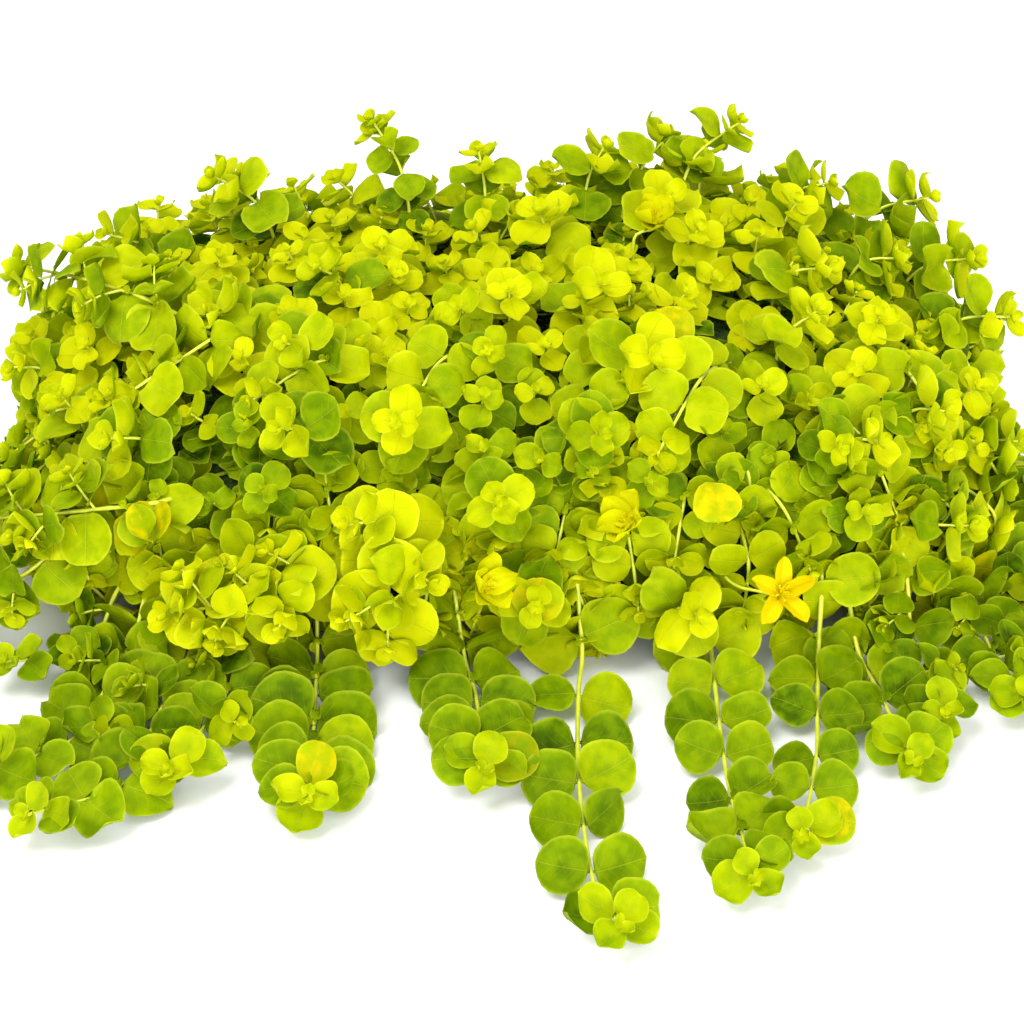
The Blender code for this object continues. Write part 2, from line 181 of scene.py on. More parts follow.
@dataclass(frozen=True)
class LeafForm:
    """A leaf of length 1 along +X from its stalk's end, with +Z out of its upper face.

    Each value is a share of that length: what makes one leaf a cup, another a wave and another a flat round.
    """

    OUTLINE_POWER = 2.15
    WOBBLE_RATE = 6.5
    SIDE_SHIFT = 2.2
    RIPPLE_POWER = 2.5
    MIDRIB_THICKER = 0.8
    SHARP_FROM = math.radians(60)

    name: str
    breadth: float = 0.98
    dish: float = 0.06
    arch: float = 0.06
    fold: float = 0.10
    ripple: float = 0.015
    ripples: int = 3
    phase: float = 0.0
    stalk: float = 0.06
    stalk_width: float = 0.07
    thickness: float = 0.022
    point: float = 0.86
    neck: float = 0.05
    twist: float = 0.0
    wobble: float = 0.05

    def half_width(self, share: float, side: float) -> float:
        """Measures the blade on one side of its midrib.

        Args:
            share: how far from the blade's base to its tip.
            side: less or more than 0 for the two sides.

        Returns:
            The width from the midrib to the edge.
        """
        across = abs(2 * share ** self.point - 1)
        shift = self.SIDE_SHIFT if side > 0 else 0.0
        uneven = 1 + self.wobble * math.sin(self.WOBBLE_RATE * share + self.phase + shift)
        rounded = (1 - across ** self.OUTLINE_POWER) ** 0.5
        return self.breadth / 2 * uneven * rounded * (1 - self.neck * (1 - share) ** 4)

    def height(self, share: float, side: float) -> float:
        """Measures how the blade is cupped, folded and waved.

        Args:
            share: how far from the blade's base to its tip.
            side: how far across it, from -1 to 1.

        Returns:
            How far it lies above the flat there.
        """
        radius = math.hypot(2 * share - 1, side)
        angle = math.atan2(side, 2 * share - 1)
        wave = self.ripple * radius ** self.RIPPLE_POWER * math.sin(self.ripples * angle + self.phase)
        rise = self.dish * (radius ** 2 - 1) + self.fold * abs(side) * self.half_width(share, side) * 2
        return rise + wave + self.twist * side * share * 0.5 - self.arch * share ** 2

    def mesh(self, detail: Detail) -> bpy.types.Mesh:
        """Makes the leaf as one thin closed solid with a sharp rim.

        Args:
            detail: the rows and columns of its blade.

        Returns:
            The mesh, with a UV map of the flat leaf and a rim attribute that is 1 on its edge.
        """
        shares, sides = detail.value
        half_stalk = self.stalk_width / 2
        rows = [(self.stalk, None)]
        for share in shares:
            rows.append((self.stalk + (1 - self.stalk) * share, share))
        made = bmesh.new()
        flat = made.loops.layers.uv.new("UVMap")
        rim = made.verts.layers.float.new("rim")
        uppers, lowers, spread = [], [], {}
        for along, share in rows:
            upper, lower = [], []
            for side in sides:
                half = half_stalk if share is None else self.half_width(share, side)
                lift = 0.0 if share is None else self.height(share, side)
                swell = 1 + self.MIDRIB_THICKER * (side == 0)
                thick = self.stalk_width if share is None else self.thickness * swell
                is_edge = abs(side) == 1
                half_thick = 0.0 if is_edge else thick / 2
                top = made.verts.new((along, side * half, lift + half_thick))
                bottom = top if is_edge else made.verts.new((along, side * half, lift - half_thick))
                for vert in (top, bottom):
                    vert[rim] = 0.0 if share is None else max(abs(side), abs(2 * share - 1))
                    spread[vert] = (along, side * half + 0.5)
                upper.append(top)
                lower.append(bottom)
            uppers.append(upper)
            lowers.append(lower)
        base = made.verts.new((0, 0, 0))
        tip = made.verts.new((1, 0, self.height(1.0, 0.0)))
        tip[rim] = 1.0
        spread[base] = (0.0, 0.5)
        spread[tip] = (1.0, 0.5)
        for grid, under in ((uppers, False), (lowers, True)):
            for near, far in zip(grid, grid[1:]):
                for index in range(len(sides) - 1):
                    corners = [near[index], far[index], far[index + 1], near[index + 1]]
                    made.faces.new(corners[::-1] if under else corners)
            for index in range(len(sides) - 1):
                first = [base, grid[0][index], grid[0][index + 1]]
                last = [tip, grid[-1][index + 1], grid[-1][index]]
                made.faces.new(first[::-1] if under else first)
                made.faces.new(last[::-1] if under else last)
        for face in made.faces:
            face.smooth = True
            for loop in face.loops:
                loop[flat].uv = spread[loop.vert]
        bmesh.ops.recalc_face_normals(made, faces=made.faces)
        for edge in made.edges:
            edge.smooth = edge.calc_face_angle(0.0) < self.SHARP_FROM
        return meshed(made, self.name)


YOUNG_FORMS = (
    LeafForm("young_cupped", breadth=1.0, dish=0.15, arch=0.02, fold=0.05,
             ripple=0.02, point=1.0, neck=0.4),
    LeafForm("young_folded", breadth=0.98, dish=0.12, arch=0.06, fold=0.16,
             ripple=0.04, point=1.05, neck=0.4),
    LeafForm("young_wavy", breadth=1.08, dish=0.12, arch=0.10, fold=0.04, ripple=0.06, ripples=3, neck=0.3),
    LeafForm("young_spoon", breadth=1.04, dish=0.14, arch=0.14, fold=0.03,
             ripple=0.04, neck=0.5, twist=0.18),
)
FULL_FORMS = (
    LeafForm("full_round", breadth=1.12, dish=0.05, arch=0.05, fold=0.04, ripple=0.03, wobble=0.03),
    LeafForm("full_saddled", breadth=1.10, dish=-0.06, arch=0.14, fold=0.05,
             ripple=0.06, ripples=2, phase=1.1),
    LeafForm("full_wavy", breadth=1.16, dish=0.08, arch=0.04, fold=0.06, ripple=0.07, ripples=3, phase=2.7),
    LeafForm("full_arched", breadth=1.06, dish=0.02, arch=0.22, fold=0.06,
             ripple=0.04, phase=5.0, twist=0.14),
    LeafForm("full_dished", breadth=1.12, dish=0.18, arch=0.02, fold=0.02,
             ripple=0.05, ripples=4, phase=3.3),
    LeafForm("full_folded", breadth=1.06, dish=0.07, arch=0.10, fold=0.20,
             ripple=0.04, point=0.95, neck=0.2),
    LeafForm("full_lobed", breadth=1.18, dish=0.04, arch=0.08, fold=0.06,
             ripple=0.06, phase=1.9, twist=-0.14),
    LeafForm("full_spoon", breadth=1.08, dish=0.12, arch=0.12, fold=0.05,
             ripple=0.05, point=0.95, neck=0.25),
)
SEPAL_FORM = LeafForm("sepal", breadth=0.42, dish=0.05, fold=0.3, ripple=0.0, stalk=0.04, point=0.6)
PETAL_FORMS = (
    LeafForm("petal_narrow", breadth=0.5, dish=0.06, arch=0.10, fold=0.34,
             ripple=0.03, stalk=0.03, point=1.1),
    LeafForm("petal_broad", breadth=0.72, dish=0.12, arch=0.04, fold=0.20,
             ripple=0.06, stalk=0.03, point=1.15),
)


class FormShelf:
    """A collection of forms out of sight, which the instances are taken from."""

    def __init__(self, name: str, forms: Sequence[LeafForm], detail: Detail) -> None:
        """Makes one object for each form, named so that they keep their order.

        Args:
            name: the collection's name.
            forms: the leaf forms in order.
            detail: how finely they are divided.
        """
        self.collection = bpy.data.collections.new(name)
        for index, form in enumerate(forms):
            item = bpy.data.objects.new(f"{name}_{index:02d}", form.mesh(detail))
            self.collection.objects.link(item)


class NodeWriter:
    """Adds nodes to a tree and joins them, so that a tree's code reads from its inputs to its outputs."""

    def __init__(self, tree: bpy.types.NodeTree) -> None:
        """Keeps the tree that the nodes go in."""
        self.tree = tree

    def add(self, kind: str, inputs: dict | None = None, **settings: object) -> bpy.types.Node:
        """Adds a node.

        Args:
            kind: the node's type name.
            inputs: by the input's name or number, a socket to join to it or a value to give it.
            settings: the node's own properties.

        Returns:
            The new node.
        """
        node = self.tree.nodes.new(kind)
        for key, value in settings.items():
            setattr(node, key, value)
        for key, value in (inputs or {}).items():
            if isinstance(value, Socket):
                self.tree.links.new(value, node.inputs[key])
            else:
                node.inputs[key].default_value = value
        return node

    def math(self, operation: str, a: object, b: object = 0.0, clamp: bool = False) -> Socket:
        """A sum, product or other operation on two numbers or sockets."""
        return self.add("ShaderNodeMath", {0: a, 1: b}, operation=operation, use_clamp=clamp).outputs[0]

    def mix(self, share: object, a: object, b: object, blend: str = "MIX") -> Socket:
        """Mixes two colours.

        Args:
            share: how much of the second colour there is.
            a: the first colour.
            b: the second colour.
            blend: the way of mixing.

        Returns:
            The mixed colour.
        """
        node = self.add("ShaderNodeMix", data_type="RGBA", blend_type=blend)
        for socket, value in ((node.inputs[0], share), (node.inputs[6], a), (node.inputs[7], b)):
            if isinstance(value, Socket):
                self.tree.links.new(value, socket)
            else:
                socket.default_value = value
        return node.outputs[2]

    def ramp(self, share: Socket, stops: Sequence[tuple[float, Colour]]) -> Socket:
        """Picks a colour by a value.

        Args:
            share: the value, from 0 to 1.
            stops: the places of the colours and the colours.

        Returns:
            The colour.
        """
        node = self.add("ShaderNodeValToRGB", {0: share})
        stop_list = node.color_ramp.elements
        for index, (position, colour) in enumerate(stops):
            stop = stop_list[index] if index < 2 else stop_list.new(position)
            stop.position = position
            stop.color = colour
        return node.outputs[0]

    def between(self, value: Socket, low: float, high: float) -> Socket:
        """Makes a smooth step.

        Args:
            value: what is looked at.
            low: where the step starts.
            high: where it ends.

        Returns:
            0 up to low and 1 from high on.
        """
        inputs = {"Value": value, "From Min": low, "From Max": high}
        node = self.add("ShaderNodeMapRange", inputs, interpolation_type="SMOOTHSTEP")
        return node.outputs["Result"]


def named(writer: NodeWriter, name: str, kind: str) -> Socket:
    """A value that each point of the geometry carries under a name."""
    node = writer.add("GeometryNodeInputNamedAttribute", {"Name": name}, data_type=kind)
    return node.outputs["Attribute"]


class GrowingTree:
    """The Geometry Nodes tree that makes a piece's leaves and stems from its places and paths.

    LEAST and MOST are the smallest and the largest factors on a leaf's length, width and depth.
    """

    SEED = 7
    LEAST = (0.96, 0.88, 0.5)
    MOST = (1.04, 1.08, 1.7)

    def __init__(self) -> None:
        """Builds the tree with its named inputs."""
        self.tree = bpy.data.node_groups.new("leaves_and_stems", "GeometryNodeTree")
        face = self.tree.interface
        face.new_socket("Geometry", in_out="INPUT", socket_type="NodeSocketGeometry")
        self.sockets = {}
        for name, kind in (
            ("Leaf forms", "NodeSocketCollection"),
            ("Leaf finish", "NodeSocketMaterial"),
            ("Stem finish", "NodeSocketMaterial"),
            ("Leaf sway", "NodeSocketFloat"),
            ("Stem sides", "NodeSocketInt"),
            ("Seed", "NodeSocketInt"),
        ):
            self.sockets[name] = face.new_socket(name, in_out="INPUT", socket_type=kind).identifier
        face.new_socket("Geometry", in_out="OUTPUT", socket_type="NodeSocketGeometry")
        self._fill()

    def _fill(self) -> None:
        """Adds the nodes: leaves on points, tubes on edges, then one real mesh with two finishes."""
        write = NodeWriter(self.tree)
        given = write.add("NodeGroupInput").outputs
        less = write.math("MULTIPLY", given["Leaf sway"], -1.0)
        chance = write.add("FunctionNodeRandomValue", {"Seed": given["Seed"]}, data_type="FLOAT_VECTOR")
        write.tree.links.new(less, chance.inputs[0])
        write.tree.links.new(given["Leaf sway"], chance.inputs[1])
        sway = write.add("FunctionNodeEulerToRotation", {0: chance.outputs[0]})
        swayed = write.add(
            "FunctionNodeRotateRotation",
            {0: named(write, "turn", "QUATERNION"), 1: sway.outputs[0]},
            rotation_space="LOCAL",
        )
        uneven = write.add("FunctionNodeRandomValue", {"Seed": given["Seed"]}, data_type="FLOAT_VECTOR")
        uneven.inputs[0].default_value = self.LEAST
        uneven.inputs[1].default_value = self.MOST
        scale = write.add(
            "ShaderNodeVectorMath",
            {0: uneven.outputs[0], "Scale": named(write, "size", "FLOAT")},
            operation="SCALE",
        )
        forms = write.add(
            "GeometryNodeCollectionInfo",
            {"Collection": given["Leaf forms"], "Separate Children": True, "Reset Children": True},
        )
        leaves = write.add(
            "GeometryNodeInstanceOnPoints",
            {
                "Points": given["Geometry"],
                "Selection": named(write, "is_leaf", "BOOLEAN"),
                "Instance": forms.outputs[0],
                "Pick Instance": True,
                "Instance Index": named(write, "form", "INT"),
                "Rotation": swayed.outputs[0],
                "Scale": scale.outputs[0],
            },
        )
        lines = write.add("GeometryNodeMeshToCurve", {"Mesh": given["Geometry"]})
        ring_inputs = {"Resolution": given["Stem sides"], "Radius": 1.0}
        ring = write.add("GeometryNodeCurvePrimitiveCircle", ring_inputs)
        tubes = write.add(
            "GeometryNodeCurveToMesh",
            {
                "Curve": lines.outputs[0],
                "Profile Curve": ring.outputs[0],
                "Scale": named(write, "radius", "FLOAT"),
                "Fill Caps": True,
            },
        )
        smooth = write.add("GeometryNodeSetShadeSmooth", {0: tubes.outputs[0]})
        stems = write.add(
            "GeometryNodeStoreNamedAttribute",
            {"Geometry": smooth.outputs[0], "Name": "is_stem", "Value": True},
            data_type="BOOLEAN",
            domain="FACE",
        )
        both = write.add("GeometryNodeJoinGeometry")
        write.tree.links.new(leaves.outputs[0], both.inputs[0])
        write.tree.links.new(stems.outputs[0], both.inputs[0])
        real = write.add("GeometryNodeRealizeInstances", {0: both.outputs[0]})
        leafy = write.add("GeometryNodeSetMaterial", {0: real.outputs[0], "Material": given["Leaf finish"]})
        done = write.add(
            "GeometryNodeSetMaterial",
            {
                0: leafy.outputs[0],
                "Selection": named(write, "is_stem", "BOOLEAN"),
                "Material": given["Stem finish"],
            },
        )
        write.add("NodeGroupOutput", {0: done.outputs[0]})


@dataclass
class Foliage:
    """The stems and leaves of one piece while they are gathered."""

    AGE_SWING = 0.05

    name: str
    chance: random.Random
    sway: float = 0.10
    stem_sides: int = 5
    places: list[Vector] = field(default_factory=list)
    edges: list[tuple[int, int]] = field(default_factory=list)
    values: dict[str, list] = field(
        default_factory=lambda: {
            key: [] for key in ("turn", "size", "form", "age", "tone", "radius", "is_leaf")
        }
    )

    def _point(self, place: Vector, **given: object) -> None:
        """Adds a point with its values, plain ones where none is given.

        Args:
            place: where it is.
            given: its values by their names.
        """
        plain = {"turn": (1, 0, 0, 0), "size": 0.0, "form": 0, "age": 0.5, "tone": 0.5, "radius": 0.0}
        self.places.append(place)
        for key, value in (plain | {"is_leaf": False} | given).items():
            self.values[key].append(value)

    def stem(self, path: Path, thick: float, thin: float, age: float = 0.4) -> None:
        """Adds a stem along a path.

        Args:
            path: the stem's middle line.
            thick: its radius at the root.
            thin: its radius at the tip.
            age: how old its colour looks, from 0 to 1.
        """
        start = len(self.places)
        for index, place in enumerate(path.places):
            share = index / (len(path.places) - 1)
            self._point(place, radius=(thick + (thin - thick) * share) * MM, age=age)
        self.edges += [(index, index + 1) for index in range(start, len(self.places) - 1)]

    def leaf(
        self, base: Vector, along: Vector, facing: Vector, size: float, age: float, form: int,
        turning: bool = False,
    ) -> None:
        """Adds a leaf.

        Args:
            base: where its stalk leaves the stem.
            along: the way that it points.
            facing: the way that its upper face looks.
            size: its length with its stalk.
            age: how old it is, from 0 for a bright young leaf to 1 for an old dark one.
            form: the number of its form on the shelf.
            turning: whether it has begun to turn orange.
        """
        along = along.normalized()
        facing = (facing - along * facing.dot(along)).normalized()
        turn = Matrix((along, facing.cross(along), facing)).transposed().to_quaternion()
        self._point(
            base,
            turn=tuple(turn),
            size=size * MM,
            form=form,
            age=min(max(age + self.chance.gauss(0, self.AGE_SWING), 0.0), 1.0),
            tone=1.0 if turning else self.chance.random() * min(1.0, size / TURNING_SIZE),
            is_leaf=True,
        )

    def carrier(self) -> bpy.types.Object:
        """Makes the object of bare points and edges that the tree works on.

        Returns:
            The new object.
        """
        mesh = bpy.data.meshes.new(self.name)
        mesh.from_pydata([place * MM for place in self.places], self.edges, [])
        kinds = {"turn": "QUATERNION", "form": "INT", "is_leaf": "BOOLEAN"}
        for key, values in self.values.items():
            attribute = mesh.attributes.new(key, kinds.get(key, "FLOAT"), "POINT")
            flat = [number for value in values for number in value] if key == "turn" else values
            attribute.data.foreach_set("value", flat)
        return placed(self.name, mesh)


@dataclass(frozen=True)
class Finishes:
    """The finishes and forms that a piece is made with."""

    tree: GrowingTree
    close: FormShelf
    near: FormShelf
    far: FormShelf
    petals: FormShelf
    sepals: FormShelf
    leaf: bpy.types.Material
    stem: bpy.types.Material
    petal: bpy.types.Material
    thatch: bpy.types.Material


def lie_above_floor(mesh: bpy.types.Mesh) -> None:
    """Bends whatever would pass through the floor flat above it, and leaves the rest as it is.

    Args:
        mesh: a piece's mesh, in metres.
    """
    gap = FLOOR_GAP * MM
    for vert in mesh.vertices:
        if vert.co.z < 2 * gap:
            vert.co.z = gap + gap * math.exp((vert.co.z - 2 * gap) / gap)


def grown(
    foliage: Foliage,
    finishes: Finishes,
    shelf: FormShelf,
    nodes: Sequence[str] = (),
    finish: bpy.types.Material | None = None,
) -> bpy.types.Object:
    """Makes a piece of the gathered leaves and stems and ties it to the frame.

    Args:
        foliage: what was gathered.
        finishes: the tree and the finishes.
        shelf: the forms of its leaves.
        nodes: the solids that it stands for.
        finish: the finish of the whole piece, where that isn't the plain leaf's and stem's.

    Returns:
        The piece's object.
    """
    carrier = foliage.carrier()
    growth = carrier.modifiers.new("growth", "NODES")
    growth.node_group = finishes.tree.tree
    sockets = finishes.tree.sockets
    growth[sockets["Leaf forms"]] = shelf.collection
    growth[sockets["Leaf finish"]] = finish or finishes.leaf
    growth[sockets["Stem finish"]] = finish or finishes.stem
    growth[sockets["Leaf sway"]] = foliage.sway
    growth[sockets["Stem sides"]] = foliage.stem_sides
    growth[sockets["Seed"]] = GrowingTree.SEED
    graph = bpy.context.evaluated_depsgraph_get()
    mesh = bpy.data.meshes.new_from_object(carrier.evaluated_get(graph), depsgraph=graph)
    carrier.modifiers.clear()
    bare = carrier.data
    carrier.data = mesh
    bpy.data.meshes.remove(bare)
    mesh.name = foliage.name
    lie_above_floor(mesh)
    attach(carrier, BODY)
    if nodes:
        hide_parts(*nodes)
    mesh.calc_loop_triangles()
    leaves = sum(foliage.values["is_leaf"])
    LOG.info("%s: %d leaves, %d triangles", foliage.name, leaves, len(mesh.loop_triangles))
    return carrier


def linear(red: int, green: int, blue: int) -> Colour:
    """Turns a colour as it is seen on a screen into the shader's own linear values.

    Args:
        red: its red, from 0 to 255.
        green: its green.
        blue: its blue.

    Returns:
        The colour and an alpha of 1.
    """

    def channel(value: int) -> float:
        """One of its three values."""
        share = value / 255
        return share / 12.92 if share <= 0.04045 else ((share + 0.055) / 1.055) ** 2.4

    return (channel(red), channel(green), channel(blue), 1.0)


def shader_group(name: str, inputs: Sequence[str], outputs: Sequence[str]) -> bpy.types.NodeTree:
    """Makes a shader node group whose sockets are all plain values.

    Args:
        name: the group's name.
        inputs: the names of its inputs.
        outputs: the names of its outputs.

    Returns:
        The empty group.
    """
    group = bpy.data.node_groups.new(name, "ShaderNodeTree")
    for way, sockets in (("INPUT", inputs), ("OUTPUT", outputs)):
        for socket in sockets:
            group.interface.new_socket(socket, in_out=way, socket_type="NodeSocketFloat")
    return group


# Ranges that become soft steps: of the patches' noise, of the distance from a midrib or a side vein in widths
# of it, and of the distance from the midrib where the side veins fade.
PATCH_RANGE = (0.3, 0.7)
MIDRIB_RANGE = (1.0, 0.2)
SIDE_VEIN_RANGE = (0.9, 0.1)
FADE_RANGE = (0.42, 0.1)


def mottle_group() -> bpy.types.NodeTree:
    """Makes the soft patches and the fine grain that every living surface here has.

    Returns:
        The group, whose outputs are the two.
    """
    group = shader_group("mottle", ("Patch size", "Grain size"), ("Patches", "Grain"))
    write = NodeWriter(group)
    given = write.add("NodeGroupInput").outputs
    place = write.add("ShaderNodeTexCoord").outputs["Object"]
    patch_scale = write.math("DIVIDE", 1.0, given["Patch size"])
    grain_scale = write.math("DIVIDE", 1.0, given["Grain size"])
    patches = write.add("ShaderNodeTexNoise", {"Vector": place, "Scale": patch_scale, "Detail": 2.0})
    grain = write.add("ShaderNodeTexNoise", {"Vector": place, "Scale": grain_scale, "Detail": 1.0})
    even = write.between(patches.outputs[0], *PATCH_RANGE)
    write.add("NodeGroupOutput", {"Patches": even, "Grain": grain.outputs[0]})
    return group


def vein_group() -> bpy.types.NodeTree:
    """Draws the midrib and the curved side veins of a leaf or a petal on its flat UV map.

    Returns:
        The group, whose outputs are masks of the two.
    """
    group = shader_group("veins", ("Spacing", "Slant", "Curve", "Width"), ("Midrib", "Side veins"))
    write = NodeWriter(group)
    given = write.add("NodeGroupInput").outputs
    flat = write.add("ShaderNodeUVMap", uv_map="UVMap").outputs[0]
    parts = write.add("ShaderNodeSeparateXYZ", {0: flat}).outputs
    across = write.math("ABSOLUTE", write.math("SUBTRACT", parts[1], 0.5))
    midrib = write.between(write.math("DIVIDE", across, given["Width"]), *MIDRIB_RANGE)
    swept = write.math("SUBTRACT", parts[0], write.math("MULTIPLY", across, given["Slant"]))
    bent = write.math("MULTIPLY", write.math("POWER", across, 2.0), given["Curve"])
    phase = write.math("FRACT", write.math("DIVIDE", write.math("ADD", swept, bent), given["Spacing"]))
    off_middle = write.math("ABSOLUTE", write.math("SUBTRACT", phase, 0.5))
    off_line = write.math("MULTIPLY", off_middle, given["Spacing"])
    line = write.between(write.math("DIVIDE", off_line, given["Width"]), *SIDE_VEIN_RANGE)
    fade = write.between(across, *FADE_RANGE)
    write.add("NodeGroupOutput", {"Midrib": midrib, "Side veins": write.math("MULTIPLY", line, fade)})
    return group


@dataclass(frozen=True)
class Patterns:
    """The node groups that the finishes share."""

    mottle: bpy.types.NodeTree
    veins: bpy.types.NodeTree


def new_material(name: str) -> tuple[bpy.types.Material, NodeWriter]:
    """Makes a node material.

    Args:
        name: the material's name.

    Returns:
        The empty material and a writer on its tree.
    """
    material = bpy.data.materials.new(name)
    material.use_nodes = True
    material.node_tree.nodes.clear()
    return material, NodeWriter(material.node_tree)


def grouped(write: NodeWriter, group: bpy.types.NodeTree, inputs: dict) -> bpy.types.Node:
    """Places a group in a material.

    Args:
        write: the writer of the material's tree.
        group: the group.
        inputs: the group's values by their names.

    Returns:
        The new node.
    """
    node = write.add("ShaderNodeGroup", node_tree=group)
    for key, value in inputs.items():
        node.inputs[key].default_value = value
    return node


def carried(write: NodeWriter, name: str) -> Socket:
    """A value that the mesh carries under a name."""
    return write.add("ShaderNodeAttribute", attribute_name=name).outputs["Fac"]


@dataclass(frozen=True)
class Finish:
    """What every finish has: soft patches, a fine grain, and how rough, shiny and uneven its surface is."""

    name: str
    patch_size: float
    grain_size: float
    roughness: float
    relief: float
    relief_depth: float = 0.0003
    shine: float = 0.5

    def mottle(self, write: NodeWriter, patterns: Patterns) -> bpy.types.NodeOutputs:
        """The patches and the grain in this finish's sizes."""
        sizes = {"Patch size": self.patch_size, "Grain size": self.grain_size}
        return grouped(write, patterns.mottle, sizes).outputs

    def patchy(self, write: NodeWriter, mottle: bpy.types.NodeOutputs, weight: float) -> Socket:
        """The patches as a shift to both sides of 0, as strong as the weight says."""
        return write.math("MULTIPLY", write.math("SUBTRACT", mottle["Patches"], 0.5), weight)

    def coat(self, write: NodeWriter, colour: Socket, height: Socket) -> tuple[Socket, Socket]:
        """Adds the surface.

        Args:
            write: the writer of the material's tree.
            colour: the surface's colour.
            height: how high its relief is.

        Returns:
            The surface's shader and the normal of its relief.
        """
        relief = {"Height": height, "Strength": self.relief, "Distance": self.relief_depth}
        bump = write.add("ShaderNodeBump", relief)
        inputs = {
            "Base Color": colour,
            "Roughness": self.roughness,
            "Specular IOR Level": self.shine,
            "Normal": bump.outputs[0],
        }
        return write.add("ShaderNodeBsdfPrincipled", inputs).outputs[0], bump.outputs[0]


@dataclass(frozen=True)
class ThinFinish(Finish):
    """A thin veined surface that light shines through.

    Its veins' sizes are shares of the leaf's or the petal's length.
    """

    through: float = 0.4
    vein_spacing: float = 0.19
    vein_slant: float = 0.85
    vein_curve: float = 0.7
    vein_width: float = 0.017

    def veins(self, write: NodeWriter, patterns: Patterns) -> bpy.types.NodeOutputs:
        """Adds the midrib and the side veins in this finish's sizes.

        Args:
            write: the writer of the material's tree.
            patterns: the shared groups.

        Returns:
            The outputs of the vein group.
        """
        sizes = {
            "Spacing": self.vein_spacing,
            "Slant": self.vein_slant,
            "Curve": self.vein_curve,
            "Width": self.vein_width,
        }
        return grouped(write, patterns.veins, sizes).outputs

    def finish(self, write: NodeWriter, colour: Socket, shone: Socket, height: Socket) -> None:
        """Adds the surface and the light that comes through it, and ends the material.

        Args:
            write: the writer of the material's tree.
            colour: the surface's colour.
            shone: the colour of the light that comes through.
            height: how high its relief is.
        """
        face, normal = self.coat(write, colour, height)
        glow = write.add("ShaderNodeBsdfTranslucent", {"Color": shone, "Normal": normal})
        both = write.add("ShaderNodeMixShader", {0: self.through, 1: face, 2: glow.outputs[0]})
        write.add("ShaderNodeOutputMaterial", {"Surface": both.outputs[0]})


@dataclass(frozen=True)
class LeafFinish(ThinFinish):
    """A thin leaf: yellow when young, lime when full and dark green when old.

    It is greener where light comes through. The weights say how much the leaf's own tone, the patches and the
    distance from the rim shift its age, and how far its edge and its veins turn pale. The ranges become soft
    steps of its rim, its age and its tone.
    """

    name: str = "golden_leaf"
    patch_size: float = 0.006
    grain_size: float = 0.0007
    roughness: float = 0.56
    relief: float = 0.6
    shine: float = 0.04
    stops: tuple[tuple[float, Colour], ...] = (
        (0.00, linear(219, 216, 3)),
        (0.22, linear(206, 209, 3)),
        (0.42, linear(181, 194, 2)),
        (0.62, linear(146, 171, 2)),
        (0.82, linear(110, 142, 2)),
        (1.00, linear(48, 81, 2)),
    )
    shone_through: Colour = (0.5, 0.96, 0.8, 1.0)
    pale: Colour = linear(240, 238, 70)
    rust: Colour = linear(228, 206, 5)
    tone_weight: float = 0.16
    patch_weight: float = 0.16
    rim_weight: float = 0.11
    rim_middle: float = 0.6
    edge_pale: float = 0.24
    edge_range: Two = (0.86, 1.0)
    midrib_pale: float = 0.2
    side_vein_pale: float = 0.09
    vein_ages: Two = (0.0, 0.5)
    rust_tones: Two = (0.975, 1.0)
    rust_ages: Two = (0.35, 0.5)
    side_groove: float = 0.35
    grain_height: float = 0.25

    def build(self, patterns: Patterns) -> bpy.types.Material:
        """Makes the material.

        Args:
            patterns: the shared groups.

        Returns:
            The material.
        """
        material, write = new_material(self.name)
        age = carried(write, "age")
        tone = carried(write, "tone")
        rim = carried(write, "rim")
        mottle = self.mottle(write, patterns)
        veins = self.veins(write, patterns)
        spread = write.math("MULTIPLY", write.math("SUBTRACT", tone, 0.5), self.tone_weight)
        patchy = self.patchy(write, mottle, self.patch_weight)
        inward = write.math("MULTIPLY", write.math("SUBTRACT", self.rim_middle, rim), self.rim_weight)
        uneven = write.math("ADD", write.math("ADD", spread, patchy), inward)
        colour = write.ramp(write.math("ADD", age, uneven, clamp=True), self.stops)
        edge = write.math("MULTIPLY", write.between(rim, *self.edge_range), self.edge_pale)
        midrib = write.math("MULTIPLY", veins["Midrib"], self.midrib_pale)
        side_veins = write.math("MULTIPLY", veins["Side veins"], self.side_vein_pale)
        lines = write.math("ADD", midrib, side_veins, clamp=True)
        faint = write.math("MULTIPLY", lines, write.between(age, *self.vein_ages))
        colour = write.mix(write.math("MAXIMUM", edge, faint), colour, self.pale)
        rusty = write.math("MULTIPLY", write.between(tone, *self.rust_tones), mottle["Patches"])
        turned_share = write.math("MULTIPLY", rusty, write.between(age, *self.rust_ages))
        colour = write.mix(turned_share, colour, self.rust)
        side_grooves = write.math("MULTIPLY", veins["Side veins"], self.side_groove)
        grooves = write.math("ADD", veins["Midrib"], side_grooves)
        grain = write.math("MULTIPLY", mottle["Grain"], self.grain_height)
        height = write.math("SUBTRACT", grain, grooves)
        greener = write.mix(1.0, colour, self.shone_through, blend="MULTIPLY")
        self.finish(write, colour, greener, height)
        return material


